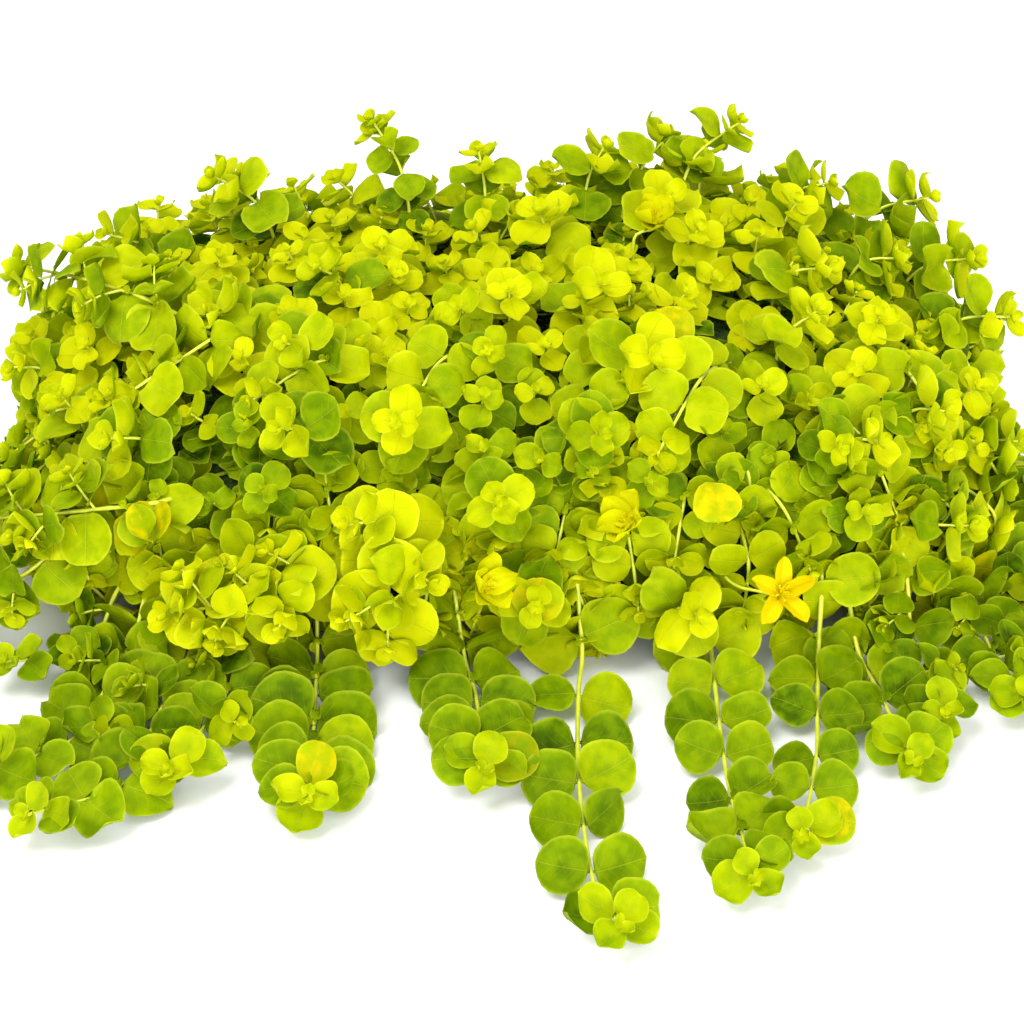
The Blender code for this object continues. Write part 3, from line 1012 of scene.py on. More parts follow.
@dataclass(frozen=True)
class StemFinish(Finish):
    """A smooth pale stem, greener where it is old."""

    name: str = "pale_stem"
    patch_size: float = 0.004
    grain_size: float = 0.0005
    roughness: float = 0.42
    relief: float = 0.3
    young: Colour = linear(222, 224, 60)
    old: Colour = linear(158, 178, 40)
    patch_weight: float = 0.3

    def build(self, patterns: Patterns) -> bpy.types.Material:
        """Makes the material.

        Args:
            patterns: the shared groups.

        Returns:
            The material.
        """
        material, write = new_material(self.name)
        mottle = self.mottle(write, patterns)
        patchy = self.patchy(write, mottle, self.patch_weight)
        aged = write.math("ADD", carried(write, "age"), patchy, clamp=True)
        face, _ = self.coat(write, write.mix(aged, self.young, self.old), mottle["Grain"])
        write.add("ShaderNodeOutputMaterial", {"Surface": face})
        return material


@dataclass(frozen=True)
class PetalFinish(ThinFinish):
    """A petal with fine lines and orange specks: lemon yellow while it opens and deep yellow when open."""

    name: str = "yellow_petal"
    patch_size: float = 0.0007
    grain_size: float = 0.0004
    roughness: float = 0.55
    relief: float = 0.4
    shine: float = 0.06
    through: float = 0.35
    vein_spacing: float = 0.06
    vein_slant: float = 3.2
    vein_curve: float = 0.5
    vein_width: float = 0.012
    opening: Colour = linear(222, 224, 6)
    open: Colour = linear(227, 211, 3)
    warm: Colour = linear(225, 197, 4)
    speck: Colour = linear(214, 150, 6)
    line_weight: float = 0.2
    base_range: Two = (0.5, 0.1)
    base_specks: float = 0.4
    tip_specks: float = 0.06
    speck_range: Two = (0.6, 0.85)

    def build(self, patterns: Patterns) -> bpy.types.Material:
        """Makes the material.

        Args:
            patterns: the shared groups.

        Returns:
            The material.
        """
        material, write = new_material(self.name)
        veins = self.veins(write, patterns)
        mottle = self.mottle(write, patterns)
        flat = write.add("ShaderNodeUVMap", uv_map="UVMap").outputs[0]
        along = write.add("ShaderNodeSeparateXYZ", {0: flat}).outputs[0]
        colour = write.mix(carried(write, "age"), self.opening, self.open)
        lines = write.math("MULTIPLY", veins["Side veins"], self.line_weight)
        colour = write.mix(lines, colour, self.warm)
        near_base = write.math("MULTIPLY", write.between(along, *self.base_range), self.base_specks)
        share = write.math("ADD", near_base, self.tip_specks)
        specks = write.math("MULTIPLY", write.between(mottle["Patches"], *self.speck_range), share)
        colour = write.mix(specks, colour, self.speck)
        height = write.math("SUBTRACT", mottle["Grain"], veins["Side veins"])
        self.finish(write, colour, colour, height)
        return material


@dataclass(frozen=True)
class ThatchFinish(Finish):
    """The tangle of old stems under the leaves, with the ends of the cut stems on its flat underside. The
    tangle is painted in dark greens as the shade deep in the mat, where the real stems are pale.

    The ring and the pith of a cut stem are ranges of the distance from its middle.
    """

    name: str = "painted_shade_thatch"
    patch_size: float = 0.005
    grain_size: float = 0.001
    roughness: float = 0.8
    relief: float = 0.8
    relief_depth: float = 0.002
    # Painted shade: the tangle's two dark greens are the shade deep in the mat, not the stems' own pale
    # colour.
    dark: Colour = linear(24, 44, 4)
    light: Colour = linear(72, 100, 10)
    cut_ring: Colour = linear(120, 118, 52)
    cut_pith: Colour = linear(206, 204, 138)
    cut_depth: float = 0.001
    ends_scale: float = 240.0
    ring_range: Two = (0.42, 0.34)
    pith_range: Two = (0.26, 0.18)

    def build(self, patterns: Patterns) -> bpy.types.Material:
        """Makes the material.

        Args:
            patterns: the shared groups.

        Returns:
            The material.
        """
        material, write = new_material(self.name)
        mottle = self.mottle(write, patterns)
        place = write.add("ShaderNodeTexCoord").outputs["Object"]
        high = write.add("ShaderNodeSeparateXYZ", {0: place}).outputs[2]
        is_cut = write.math("LESS_THAN", high, self.cut_depth)
        cells = write.add("ShaderNodeTexVoronoi", {"Vector": place, "Scale": self.ends_scale})
        off_middle = cells.outputs["Distance"]
        # The tangle in painted shade, patchy between its two dark greens.
        tangle = write.mix(mottle["Patches"], self.dark, self.light)
        ring = write.mix(write.between(off_middle, *self.ring_range), self.dark, self.cut_ring)
        cut = write.mix(write.between(off_middle, *self.pith_range), ring, self.cut_pith)
        height = write.math("ADD", mottle["Grain"], mottle["Patches"])
        face, _ = self.coat(write, write.mix(is_cut, tangle, cut), height)
        write.add("ShaderNodeOutputMaterial", {"Surface": face})
        return material


@dataclass(frozen=True)
class MatForm:
    """The rounded box that the tips of the crowded leaves reach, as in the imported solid."""

    half_width: float = 210
    half_depth: float = 140
    height: float = 110
    plan_power: float = 3.8
    rise_power: float = 3.4
    crown_middle: Two = (85, 45)
    crown_radius: float = 105
    crown_rise: float = 11
    foot_height: float = 36
    foot_tuck: float = 0.14
    leaves_out: float = 0.4
    leaves_up: float = 0.3
    leaves_front: float = 0.28

    def level(self, point: Vector) -> float:
        """Says whether a place is in the plain form.

        Args:
            point: any place.

        Returns:
            Less than 1 inside the form, 1 on it and more outside.
        """
        across = abs(point.x / self.half_width) ** self.plan_power
        plan = across + abs(point.y / self.half_depth) ** self.plan_power
        return plan ** (self.rise_power / self.plan_power) + abs(point.z / self.height) ** self.rise_power

    def on(self, point: Vector) -> Vector:
        """The place on the form that lies the same way from the origin as the point."""
        return point / self.level(point) ** (1 / self.rise_power)

    def normal(self, point: Vector) -> Vector:
        """Finds the way out of the form from small steps along each axis.

        Args:
            point: a place on the plain form.

        Returns:
            The way straight out of it, as a vector of length 1.
        """
        step = 0.01
        axes = (Vector((1, 0, 0)), Vector((0, 1, 0)), UP)
        slopes = [self.level(point + step * axis) - self.level(point - step * axis) for axis in axes]
        return Vector(slopes).normalized()

    def light(self, point: Vector) -> Vector:
        """How far and which way the leaves at a place on the form turn to the light."""
        return self.normal(point) * self.leaves_out + UP * self.leaves_up + FRONT * self.leaves_front

    def shaped(self, point: Vector) -> Vector:
        """Moves a place as the crown and the tucked foot move it.

        Args:
            point: a place on the plain form.

        Returns:
            The place on the mat itself.
        """
        from_crown = (point.xy - Vector(self.crown_middle)).length / self.crown_radius
        high = point.z * (1 + self.crown_rise / self.height * math.exp(-from_crown ** 2))
        tuck = 1 - self.foot_tuck * max(0.0, 1 - high / self.foot_height) ** 2
        return Vector((point.x * tuck, point.y * tuck, high))


MAT = MatForm()


@dataclass(frozen=True)
class Growth:
    """How a stem's leaves are set, in millimetres, degrees and shares of a leaf or of an age.

    The depths and the first gap are those of a stem whose full leaf is as long as full_leaf says.
    """

    rosette_shares: Three = (0.34, 0.7, 0.98)
    rosette_depths: Three = (0.2, 3.0, 7.8)
    rosette_lifts: Three = (54, 26, 10)
    full_lifts: Three = (14, 4, -4)
    crosswise_spacing: float = 9.0
    first_gap: float = 6.5
    row_back: float = 10
    stalk: float = 2.0
    next_older: float = 0.3
    rank_older: float = 0.06
    shoot_older: float = 0.7
    oldest: float = 0.8
    row_swing: float = 15
    row_tilt: float = 0.26
    tip_share: float = 0.5
    tip_ahead: float = 1.1
    young_share: float = 0.8
    bud_share: float = 0.2
    bud_lift: float = 35
    bud_chance: float = 0.4
    bud_turn: float = 60
    bud_rise: float = 1.2
    full_leaf: float = 18
    pair_sizes: Two = (0.9, 1.08)
    row_sizes: Two = (0.92, 1.16)
    crosswise_gaps: Two = (0.85, 1.15)
    row_gaps: Two = (0.86, 1.14)
    lift_swing: float = 5
    rosette_swing: float = 6
    turn_swing: float = 8
    row_rosette: float = 0.9
    pairs_to_full: float = 4


GROWTH = Growth()
YOUNG_COUNT = len(YOUNG_FORMS)
FULL_COUNT = len(FULL_FORMS)


def turned(vector: Vector, axis: Vector, degrees: float) -> Vector:
    """A vector turned round an axis."""
    return Quaternion(axis, math.radians(degrees)) @ vector


class Grower:
    """Sets leaves along the paths of one piece."""

    def __init__(self, foliage: Foliage) -> None:
        """Keeps what the leaves are added to."""
        self.foliage = foliage
        self.chance = foliage.chance

    def pair(
        self, base: Vector, side: Vector, axis: Vector, lift: float, size: float, age: float, young: bool
    ) -> None:
        """Two leaves on opposite sides of a stem.

        Args:
            base: the place on the stem.
            side: the way that one of them points.
            axis: the way that their faces look.
            lift: how far they lift towards the axis, in degrees.
            size: their length.
            age: how old they look.
            young: whether they have a young leaf's form.
        """
        for way in (-1, 1):
            angle = math.radians(lift + self.chance.gauss(0, GROWTH.lift_swing))
            along = side * way * math.cos(angle) + axis * math.sin(angle)
            if young:
                form = self.chance.randrange(YOUNG_COUNT)
            else:
                form = YOUNG_COUNT + self.chance.randrange(FULL_COUNT)
            leaf_size = size * self.chance.uniform(*GROWTH.pair_sizes)
            self.foliage.leaf(base, along, axis, leaf_size, age, form)

    def rosette(self, path: Path, axis: Vector, leaf: float, age: float) -> Vector:
        """The small crosswise pairs that close a stem's tip.

        Args:
            path: the stem's line.
            axis: the way that the rosette looks.
            leaf: the length of a full leaf on this stem.
            age: how old the youngest pair looks.

        Returns:
            The sideways direction of the next pair down.
        """
        axis = axis.normalized()
        side = turned(axis.orthogonal().normalized(), axis, self.chance.uniform(0, 180))
        rows = zip(GROWTH.rosette_shares, GROWTH.rosette_depths, GROWTH.rosette_lifts)
        for rank, (share, depth, lift) in enumerate(rows):
            base, _ = path.at(path.length - depth * leaf / GROWTH.full_leaf)
            self.pair(base, side, axis, lift, leaf * share, age + GROWTH.rank_older * rank, young=True)
            side = turned(side, axis, 90 + self.chance.gauss(0, GROWTH.rosette_swing))
        return side

    def crosswise(
        self, path: Path, leaf: float, age: float, bare: float, older: float, light: Vector
    ) -> None:
        """Leaves on a stem that stands up, every pair turned a quarter from the one before.

        Args:
            path: the stem's line.
            leaf: the length of a full leaf.
            age: how old the tip looks.
            bare: the length at the root that has no leaves.
            older: how much older the lowest pair looks than the tip.
            light: the way that the light comes from, longer where the leaves turn further to it.
        """
        _, ahead = path.at(path.length)
        side = self.rosette(path, (ahead + light * GROWTH.tip_share).normalized(), leaf, age)
        closed = GROWTH.rosette_depths[-1] * leaf / GROWTH.full_leaf
        distance = path.length - closed - GROWTH.first_gap * leaf / GROWTH.full_leaf
        rank = 0
        while distance > bare:
            base, ahead = path.at(distance)
            axis = (ahead + light).normalized()
            side = (side - axis * side.dot(axis)).normalized()
            lift = GROWTH.full_lifts[min(rank, len(GROWTH.full_lifts) - 1)]
            share = 1 - distance / path.length
            pair_age = min(GROWTH.oldest, age + GROWTH.next_older + older * share)
            self.pair(base, side, axis, lift, leaf + GROWTH.stalk, pair_age, young=False)
            side = turned(side, axis, 90 + self.chance.gauss(0, GROWTH.turn_swing))
            distance -= GROWTH.crosswise_spacing * self.chance.uniform(*GROWTH.crosswise_gaps)
            rank += 1

    def two_rows(
        self,
        path: Path,
        leaf: float,
        spacing: float,
        ages: Three,
        bare: float,
        light: Vector = UP,
        lean: float = 38,
    ) -> None:
        """Leaves on a stem that trails: pairs out to both sides that face the light and the tip.

        Args:
            path: the stem's line.
            leaf: the length of a full leaf.
            spacing: the distance between pairs.
            ages: how old the tip, the middle and the root look; a root younger than the middle is painted
                light on pairs in the mat's shade.
            bare: the length at the root that has no leaves.
            light: the way that the light comes from.
            lean: the angle that the leaves face away from the light towards the tip.
        """
        upright = math.cos(math.radians(lean))
        forward = math.sin(math.radians(lean))
        sweep = math.radians(GROWTH.row_back)
        _, ahead = path.at(path.length)
        out = (light - ahead * light.dot(ahead)).normalized()
        self.rosette(path, out + ahead * GROWTH.tip_ahead, leaf * GROWTH.row_rosette, ages[0])
        distance = path.length - spacing * 0.5
        while distance > bare:
            base, ahead = path.at(distance)
            out = (light - ahead * light.dot(ahead)).normalized()
            facing = out * upright + ahead * forward
            side = ahead.cross(out)
            back = side.cross(facing)
            share = 2 * (1 - distance / path.length)
            # The root's age may be below the middle's: painted light on the shaded pairs there.
            young, mature, lowest = ages[0] + GROWTH.next_older, ages[1], ages[2]
            if share < 1:
                age = young + (mature - young) * share
            else:
                age = mature + (lowest - mature) * (share - 1)
            for way in (-1, 1):
                angle = sweep + math.radians(self.chance.gauss(0, GROWTH.row_swing))
                along = side * way * math.cos(angle) + back * math.sin(angle)
                uneven = Vector([self.chance.gauss(0, GROWTH.row_tilt) for _ in range(3)])
                pairs_back = min(1.0, (path.length - distance) / spacing / GROWTH.pairs_to_full)
                grown_up = GROWTH.young_share + (1 - GROWTH.young_share) * pairs_back
                size = (leaf + GROWTH.stalk) * self.chance.uniform(*GROWTH.row_sizes) * grown_up
                form = YOUNG_COUNT + self.chance.randrange(FULL_COUNT)
                self.foliage.leaf(base, along, facing + uneven, size, age, form)
            if self.chance.random() < GROWTH.bud_chance:
                bud_side = turned(side, facing, GROWTH.bud_turn)
                bud_base = base + facing * GROWTH.bud_rise
                bud = leaf * GROWTH.bud_share
                self.pair(bud_base, bud_side, facing, GROWTH.bud_lift, bud, age, young=True)
            distance -= spacing * self.chance.uniform(*GROWTH.row_gaps)


def seeded(name: str) -> random.Random:
    """A source of chance that gives the same draws for a name each time."""
    return random.Random(name)


@dataclass(frozen=True)
class Trail:
    """A leafy stem that lies on the floor, or a spray that hangs and arches in the air.

    Its pairs stand in two rows that face the light, or crosswise, pulled towards the light. Its ages are
    those of its tip, its middle and its root; a root younger than the middle is painted light on the first
    pairs, which lie in the mat's shade. Its branches are short shoots to its two sides in turn, and how far
    one reaches to the side, ahead and out of the stem are shares of its leaf.
    """

    name: str
    leaf: float
    spacing: float
    points: tuple[Three, ...]
    branches: int = 0
    # The root's age, lower than the middle's, is painted light on the pairs in the mat's shade.
    ages: Three = (0.38, 0.74, 0.24)
    longer: float = 8.0
    in_rows: bool = True
    light: Three = (0.0, 0.0, 1.0)
    lean: float = 38
    light_pull: float = 1.9
    radii: Two = (1.15, 0.7)
    inside: float = 24.0
    root_rise: float = 0.2
    bare: float = 6.0
    branches_from: float = 0.42
    branches_over: float = 0.5
    branch_sideways: float = 0.8
    branch_ahead: float = 0.5
    branch_out: float = 0.35
    branch_arch: float = 1.5
    branch_radii: Two = (0.9, 0.7)
    branch_leaf: float = 0.72
    branch_older: float = 0.05
    branch_root_older: float = 0.3
    branch_bare: float = 3
    branch_pull: float = 0.9

    def path(self) -> Path:
        """Lays the stem through the places that its solid runs through.

        Returns:
            The line, from inside the mat to the tip.
        """
        first = MAT.on(Vector(self.points[0]))
        start = first - MAT.normal(first) * self.inside + UP * self.inside * self.root_rise
        last = Vector(self.points[-1])
        ahead = (last - Vector(self.points[-2])).normalized()
        return Path([start, *self.points[:-1], last + ahead * self.longer])

    def build(self, finishes: Finishes) -> bpy.types.Object:
        """Grows the stem and its leaves in place of the solid of the same name.

        Args:
            finishes: the finishes and the leaf forms.

        Returns:
            The piece.
        """
        foliage = Foliage(f"{self.name}_leaves", seeded(self.name))
        path = self.path()
        foliage.stem(path, *self.radii)
        light = Vector(self.light).normalized()
        bare = self.inside + self.bare
        if self.in_rows:
            Grower(foliage).two_rows(path, self.leaf, self.spacing, self.ages, bare, light, self.lean)
        else:
            older = self.ages[1] - self.ages[0]
            Grower(foliage).crosswise(path, self.leaf, self.ages[0], bare, older, light * self.light_pull)
        for index in range(self.branches):
            self._branch(foliage, path, index)
        return grown(foliage, finishes, finishes.close, [self.name])

    def _branch(self, foliage: Foliage, path: Path, index: int) -> None:
        """Adds a short leafy shoot out of one side of the stem, turned to the stem's light.

        Args:
            foliage: what the shoot is added to.
            path: the stem's line.
            index: the shoot's number along the stem, which also says its side.
        """
        share = self.branches_from + self.branches_over * index / self.branches
        base, ahead = path.at(path.length * share)
        light = Vector(self.light).normalized()
        out = (light - ahead * light.dot(ahead)).normalized()
        side = ahead.cross(out) * (-1) ** index
        end = base + side * self.leaf * self.branch_sideways + ahead * self.leaf * self.branch_ahead
        end += out * self.leaf * self.branch_out
        branch = Path([base, base.lerp(end, 0.5) + out * self.branch_arch, end])
        at_root, at_tip = self.branch_radii
        thin = self.radii[1]
        foliage.stem(branch, thin * at_root, thin * at_tip)
        leaf = self.leaf * self.branch_leaf
        age = self.ages[0] + self.branch_older
        pull = out * self.branch_pull
        Grower(foliage).crosswise(branch, leaf, age, self.branch_bare, self.branch_root_older, pull)


@dataclass(frozen=True)
class Shoot:
    """A short leafy stem that stands out of the mat and keeps its pairs crosswise."""

    name: str
    tip: Three
    leaf: float
    age: float = 0.18
    leaf_share: float = 0.9
    turned_front: float = 0.1
    radii: Two = (1.0, 0.6)
    inside: float = 18.0
    reach: float = 0.86
    bend: float = 0.5
    bare_share: float = 0.6

    def path(self) -> Path:
        """Bends the stem in an arc that leaves the mat squarely, as its solid does.

        Returns:
            The line, from inside the mat to the tip.
        """
        tip = Vector(self.tip)
        root = MAT.on(tip * self.reach)
        out = MAT.normal(root)
        root = MAT.shaped(root)
        corner = root + out * (tip - root).length * self.bend
        middle = root * 0.25 + corner * 0.5 + tip * 0.25
        return Path([root - out * self.inside, root, middle, tip])

    def build(self, finishes: Finishes) -> bpy.types.Object:
        """Grows the stem and its leaves in place of the solid of the same name.

        Args:
            finishes: the finishes and the leaf forms.

        Returns:
            The piece.
        """
        foliage = Foliage(f"{self.name}_leaves", seeded(self.name))
        path = self.path()
        foliage.stem(path, *self.radii)
        light = MAT.light(MAT.on(Vector(self.tip))) + FRONT * self.turned_front
        leaf = self.leaf * self.leaf_share
        bare = self.inside * self.bare_share
        Grower(foliage).crosswise(path, leaf, self.age, bare, GROWTH.shoot_older, light)
        return grown(foliage, finishes, finishes.near, [self.name])


@dataclass(frozen=True)
class Sprig(Shoot):
    """A shoot that stands up against the sky: younger, with its leaves turned further to the front."""

    age: float = 0.04
    leaf_share: float = 1.04
    turned_front: float = 0.85


class Petals(Enum):
    """The two looks of a flower: its petal form's number, its petals' lift and how deep their yellow is."""

    OPEN = (0, 26, 1.0)
    OPENING = (1, 46, 0.0)


@dataclass(frozen=True)
class Flower:
    """A flower of five pointed petals, with five narrow sepals behind them and five stamens, on a stalk.

    The places of a stamen's head are along the stamen, from its end.
    """

    name: str
    middle: Three
    facing: Three
    look: Petals = Petals.OPENING
    petals: int = 5
    petal: float = 15.5
    petal_sizes: Two = (0.9, 1.05)
    petal_swing: float = 7
    petal_sway: float = 0.08
    sepal: float = 7.5
    sepal_lift: float = 0.4
    sepal_down: float = 0.8
    sepal_age: float = 0.4
    sepal_sway: float = 0.05
    stamen: float = 5.0
    stamen_lift: float = 58
    thread_radii: Two = (0.22, 0.16)
    thread_age: float = 0.1
    head_places: Three = (-0.7, 0.2, 1.1)
    head_radii: Two = (0.5, 0.45)
    head_age: float = 0.6
    stalk_radii: Two = (0.8, 0.6)
    stalk_step: int = 3
    stalk_straight: float = 4

    def build(self, finishes: Finishes) -> list[bpy.types.Object]:
        """Grows the petals and stamens, and the stalk and sepals, in place of the solid.

        Args:
            finishes: the finishes and the leaf forms.

        Returns:
            The petals' piece and the stalk's.
        """
        middle = Vector(self.middle)
        axis = Vector(self.facing).normalized()
        start = axis.orthogonal().normalized()
        crown = Foliage(f"{self.name}_petals", seeded(self.name), sway=self.petal_sway)
        green = Foliage(f"{self.name}_stalk", seeded(self.name), sway=self.sepal_sway)
        form, lift, depth = self.look.value
        green.stem(self._stalk(middle, axis), *self.stalk_radii)
        for index in range(self.petals):
            outward = turned(start, axis, 360 * index / self.petals)
            lifted = turned(outward, axis.cross(outward), -lift - crown.chance.gauss(0, self.petal_swing))
            size = self.petal * crown.chance.uniform(*self.petal_sizes)
            crown.leaf(middle, lifted, axis, size, depth, form)
            between = turned(outward, axis, 180 / self.petals)
            low = turned(between, axis.cross(between), -lift * self.sepal_lift)
            green.leaf(middle - axis * self.sepal_down, low, axis, self.sepal, self.sepal_age, 0)
            raised = turned(between, axis.cross(between), -self.stamen_lift)
            self._stamen(crown, middle, raised)
        petals = grown(crown, finishes, finishes.petals, [self.name], finish=finishes.petal)
        sepals = grown(green, finishes, finishes.sepals)
        return [petals, sepals]

    def _stalk(self, middle: Vector, axis: Vector) -> Path:
        """Bends the stalk like a shoot's arc that ends straight behind the flower.

        Args:
            middle: the flower's middle.
            axis: the way that the flower looks.

        Returns:
            The stalk's line.
        """
        arc = Shoot(self.name, self.middle, self.petal).path().places
        kept = arc[:-self.stalk_step:self.stalk_step]
        return Path([*kept, middle - axis * self.stalk_straight, middle])

    def _stamen(self, crown: Foliage, middle: Vector, raised: Vector) -> None:
        """Adds a thin thread, and a thicker head on its end.

        Args:
            crown: what it is added to.
            middle: the flower's middle.
            raised: the way that it points.
        """
        end = middle + raised * self.stamen
        crown.stem(Path([middle, end]), *self.thread_radii, age=self.thread_age)
        head = Path([end + raised * place for place in self.head_places])
        crown.stem(head, *self.head_radii, age=self.head_age)


class Side(Enum):
    """The sides of the plain box that the mat's form is rounded from."""

    TOP = "top"
    ENDS = "ends"
    FACES = "faces"


class Region(Enum):
    """The parts of the thicket that are pieces of their own."""

    TOP_LEFT = "thicket_top_left"
    TOP_RIGHT = "thicket_top_right"
    FRONT = "thicket_front"
    LEFT = "thicket_left"
    RIGHT = "thicket_right"
    BACK = "thicket_back"
    INSIDE = "thicket_inside"

    @classmethod
    def of(cls, place: Vector, out: Vector) -> "Region":
        """Finds the part that a place on the mat's form belongs to.

        Args:
            place: the place.
            out: the way that the form faces there.

        Returns:
            The part.
        """
        if out.z > TOP_RISE:
            return cls.TOP_LEFT if place.x < 0 else cls.TOP_RIGHT
        if abs(out.y) > FACE_TURN:
            return cls.FRONT if place.y < 0 else cls.BACK
        return cls.LEFT if place.x < 0 else cls.RIGHT


@dataclass(frozen=True)
class Standing:
    """How the mat's upright shoots grow, in millimetres, ages and shares of their length.

    The pulls say how far a shoot leans out of the form, up, to the mat's edge and to the front. Its tip looks
    younger than a hanging one's, at the mat's ends most of all, and older towards the front.
    """

    above: float = 58
    length: float = 34
    root_back: float = 0.7
    root_down: float = 0.4
    bend_back: float = 0.5
    radii: Two = (0.95, 0.6)
    bare: float = 6
    out_pull: float = 0.5
    up_pull: float = 0.5
    edge_pull: float = 0.3
    front_pull: float = 0.15
    swing: float = 0.3
    edge_from: float = 0.2
    edge_proud: float = 15
    wave_proud: float = 7
    tall_chance: float = 0.2
    tall_proud: float = 11
    front_from: float = 0.4
    younger: float = 0.4
    ends_younger: float = 0.14
    front_older: float = 1.4
    root_older: float = 0.6
    front_root_older: float = 0.8


@dataclass(frozen=True)
class Hanging:
    """How the mat's hanging shoots grow, in millimetres, ages and shares of their length.

    The route gives how far back and how deep the stem's places are, from its root to its tip. The ages are
    those of its tip, its middle and its root; each is less at the mat's foot by the three that follow them,
    and those younger, brighter leaves are painted light against the shade under the mat's overhang. The tip's
    is added to the age that the thicket gives its place.
    """

    length: float = 46
    route: tuple[Two, ...] = ((1.0, 20.0), (0.62, 6.0), (0.3, 1.0), (0.0, -3.0))
    route_swing: float = 2
    swing: float = 0.45
    radii: Two = (1.0, 0.65)
    bare: float = 8
    lean: float = 24
    out_pull: float = 0.8
    up_pull: float = 0.5
    spacing: float = 12
    spacings: Two = (0.9, 1.15)
    foot_larger: float = 1.5
    foot_from: float = 0.5
    foot_proud: float = 26
    ages: Three = (0.54, 1.08, 1.04)
    # Painted light: how much younger and brighter the leaves are at the foot, in the overhang's shade.
    foot_painted_light: Three = (0.84, 0.9, 0.96)
    bright_younger: float = 0.15


@dataclass(frozen=True)
class Running:
    """How the longer stems that run over the mat grow, in millimetres and ages."""

    root_height: float = -14.0
    height: float = 7
    radii: Two = (1.05, 0.7)
    bare: float = 12
    spacing: float = 15
    smaller: float = 2
    ages: Three = (0.06, 0.46, 0.5)
    up_pull: float = 0.4
    front_pull: float = 0.4


@dataclass(frozen=True)
class Deep:
    """How the old leaves under the others lie, in millimetres and ages. Their dark greens are partly the real
    colour of old leaves and partly painted shade, darker for their depth under the others.
    """

    apart: float = 14
    depths: Two = (10.0, 19.0)
    rises: Two = (-0.1, 0.5)
    up_pull: float = 0.4
    swing: float = 0.3
    # Old, and darker still as painted shade deep under the others.
    ages: Two = (0.84, 1.0)


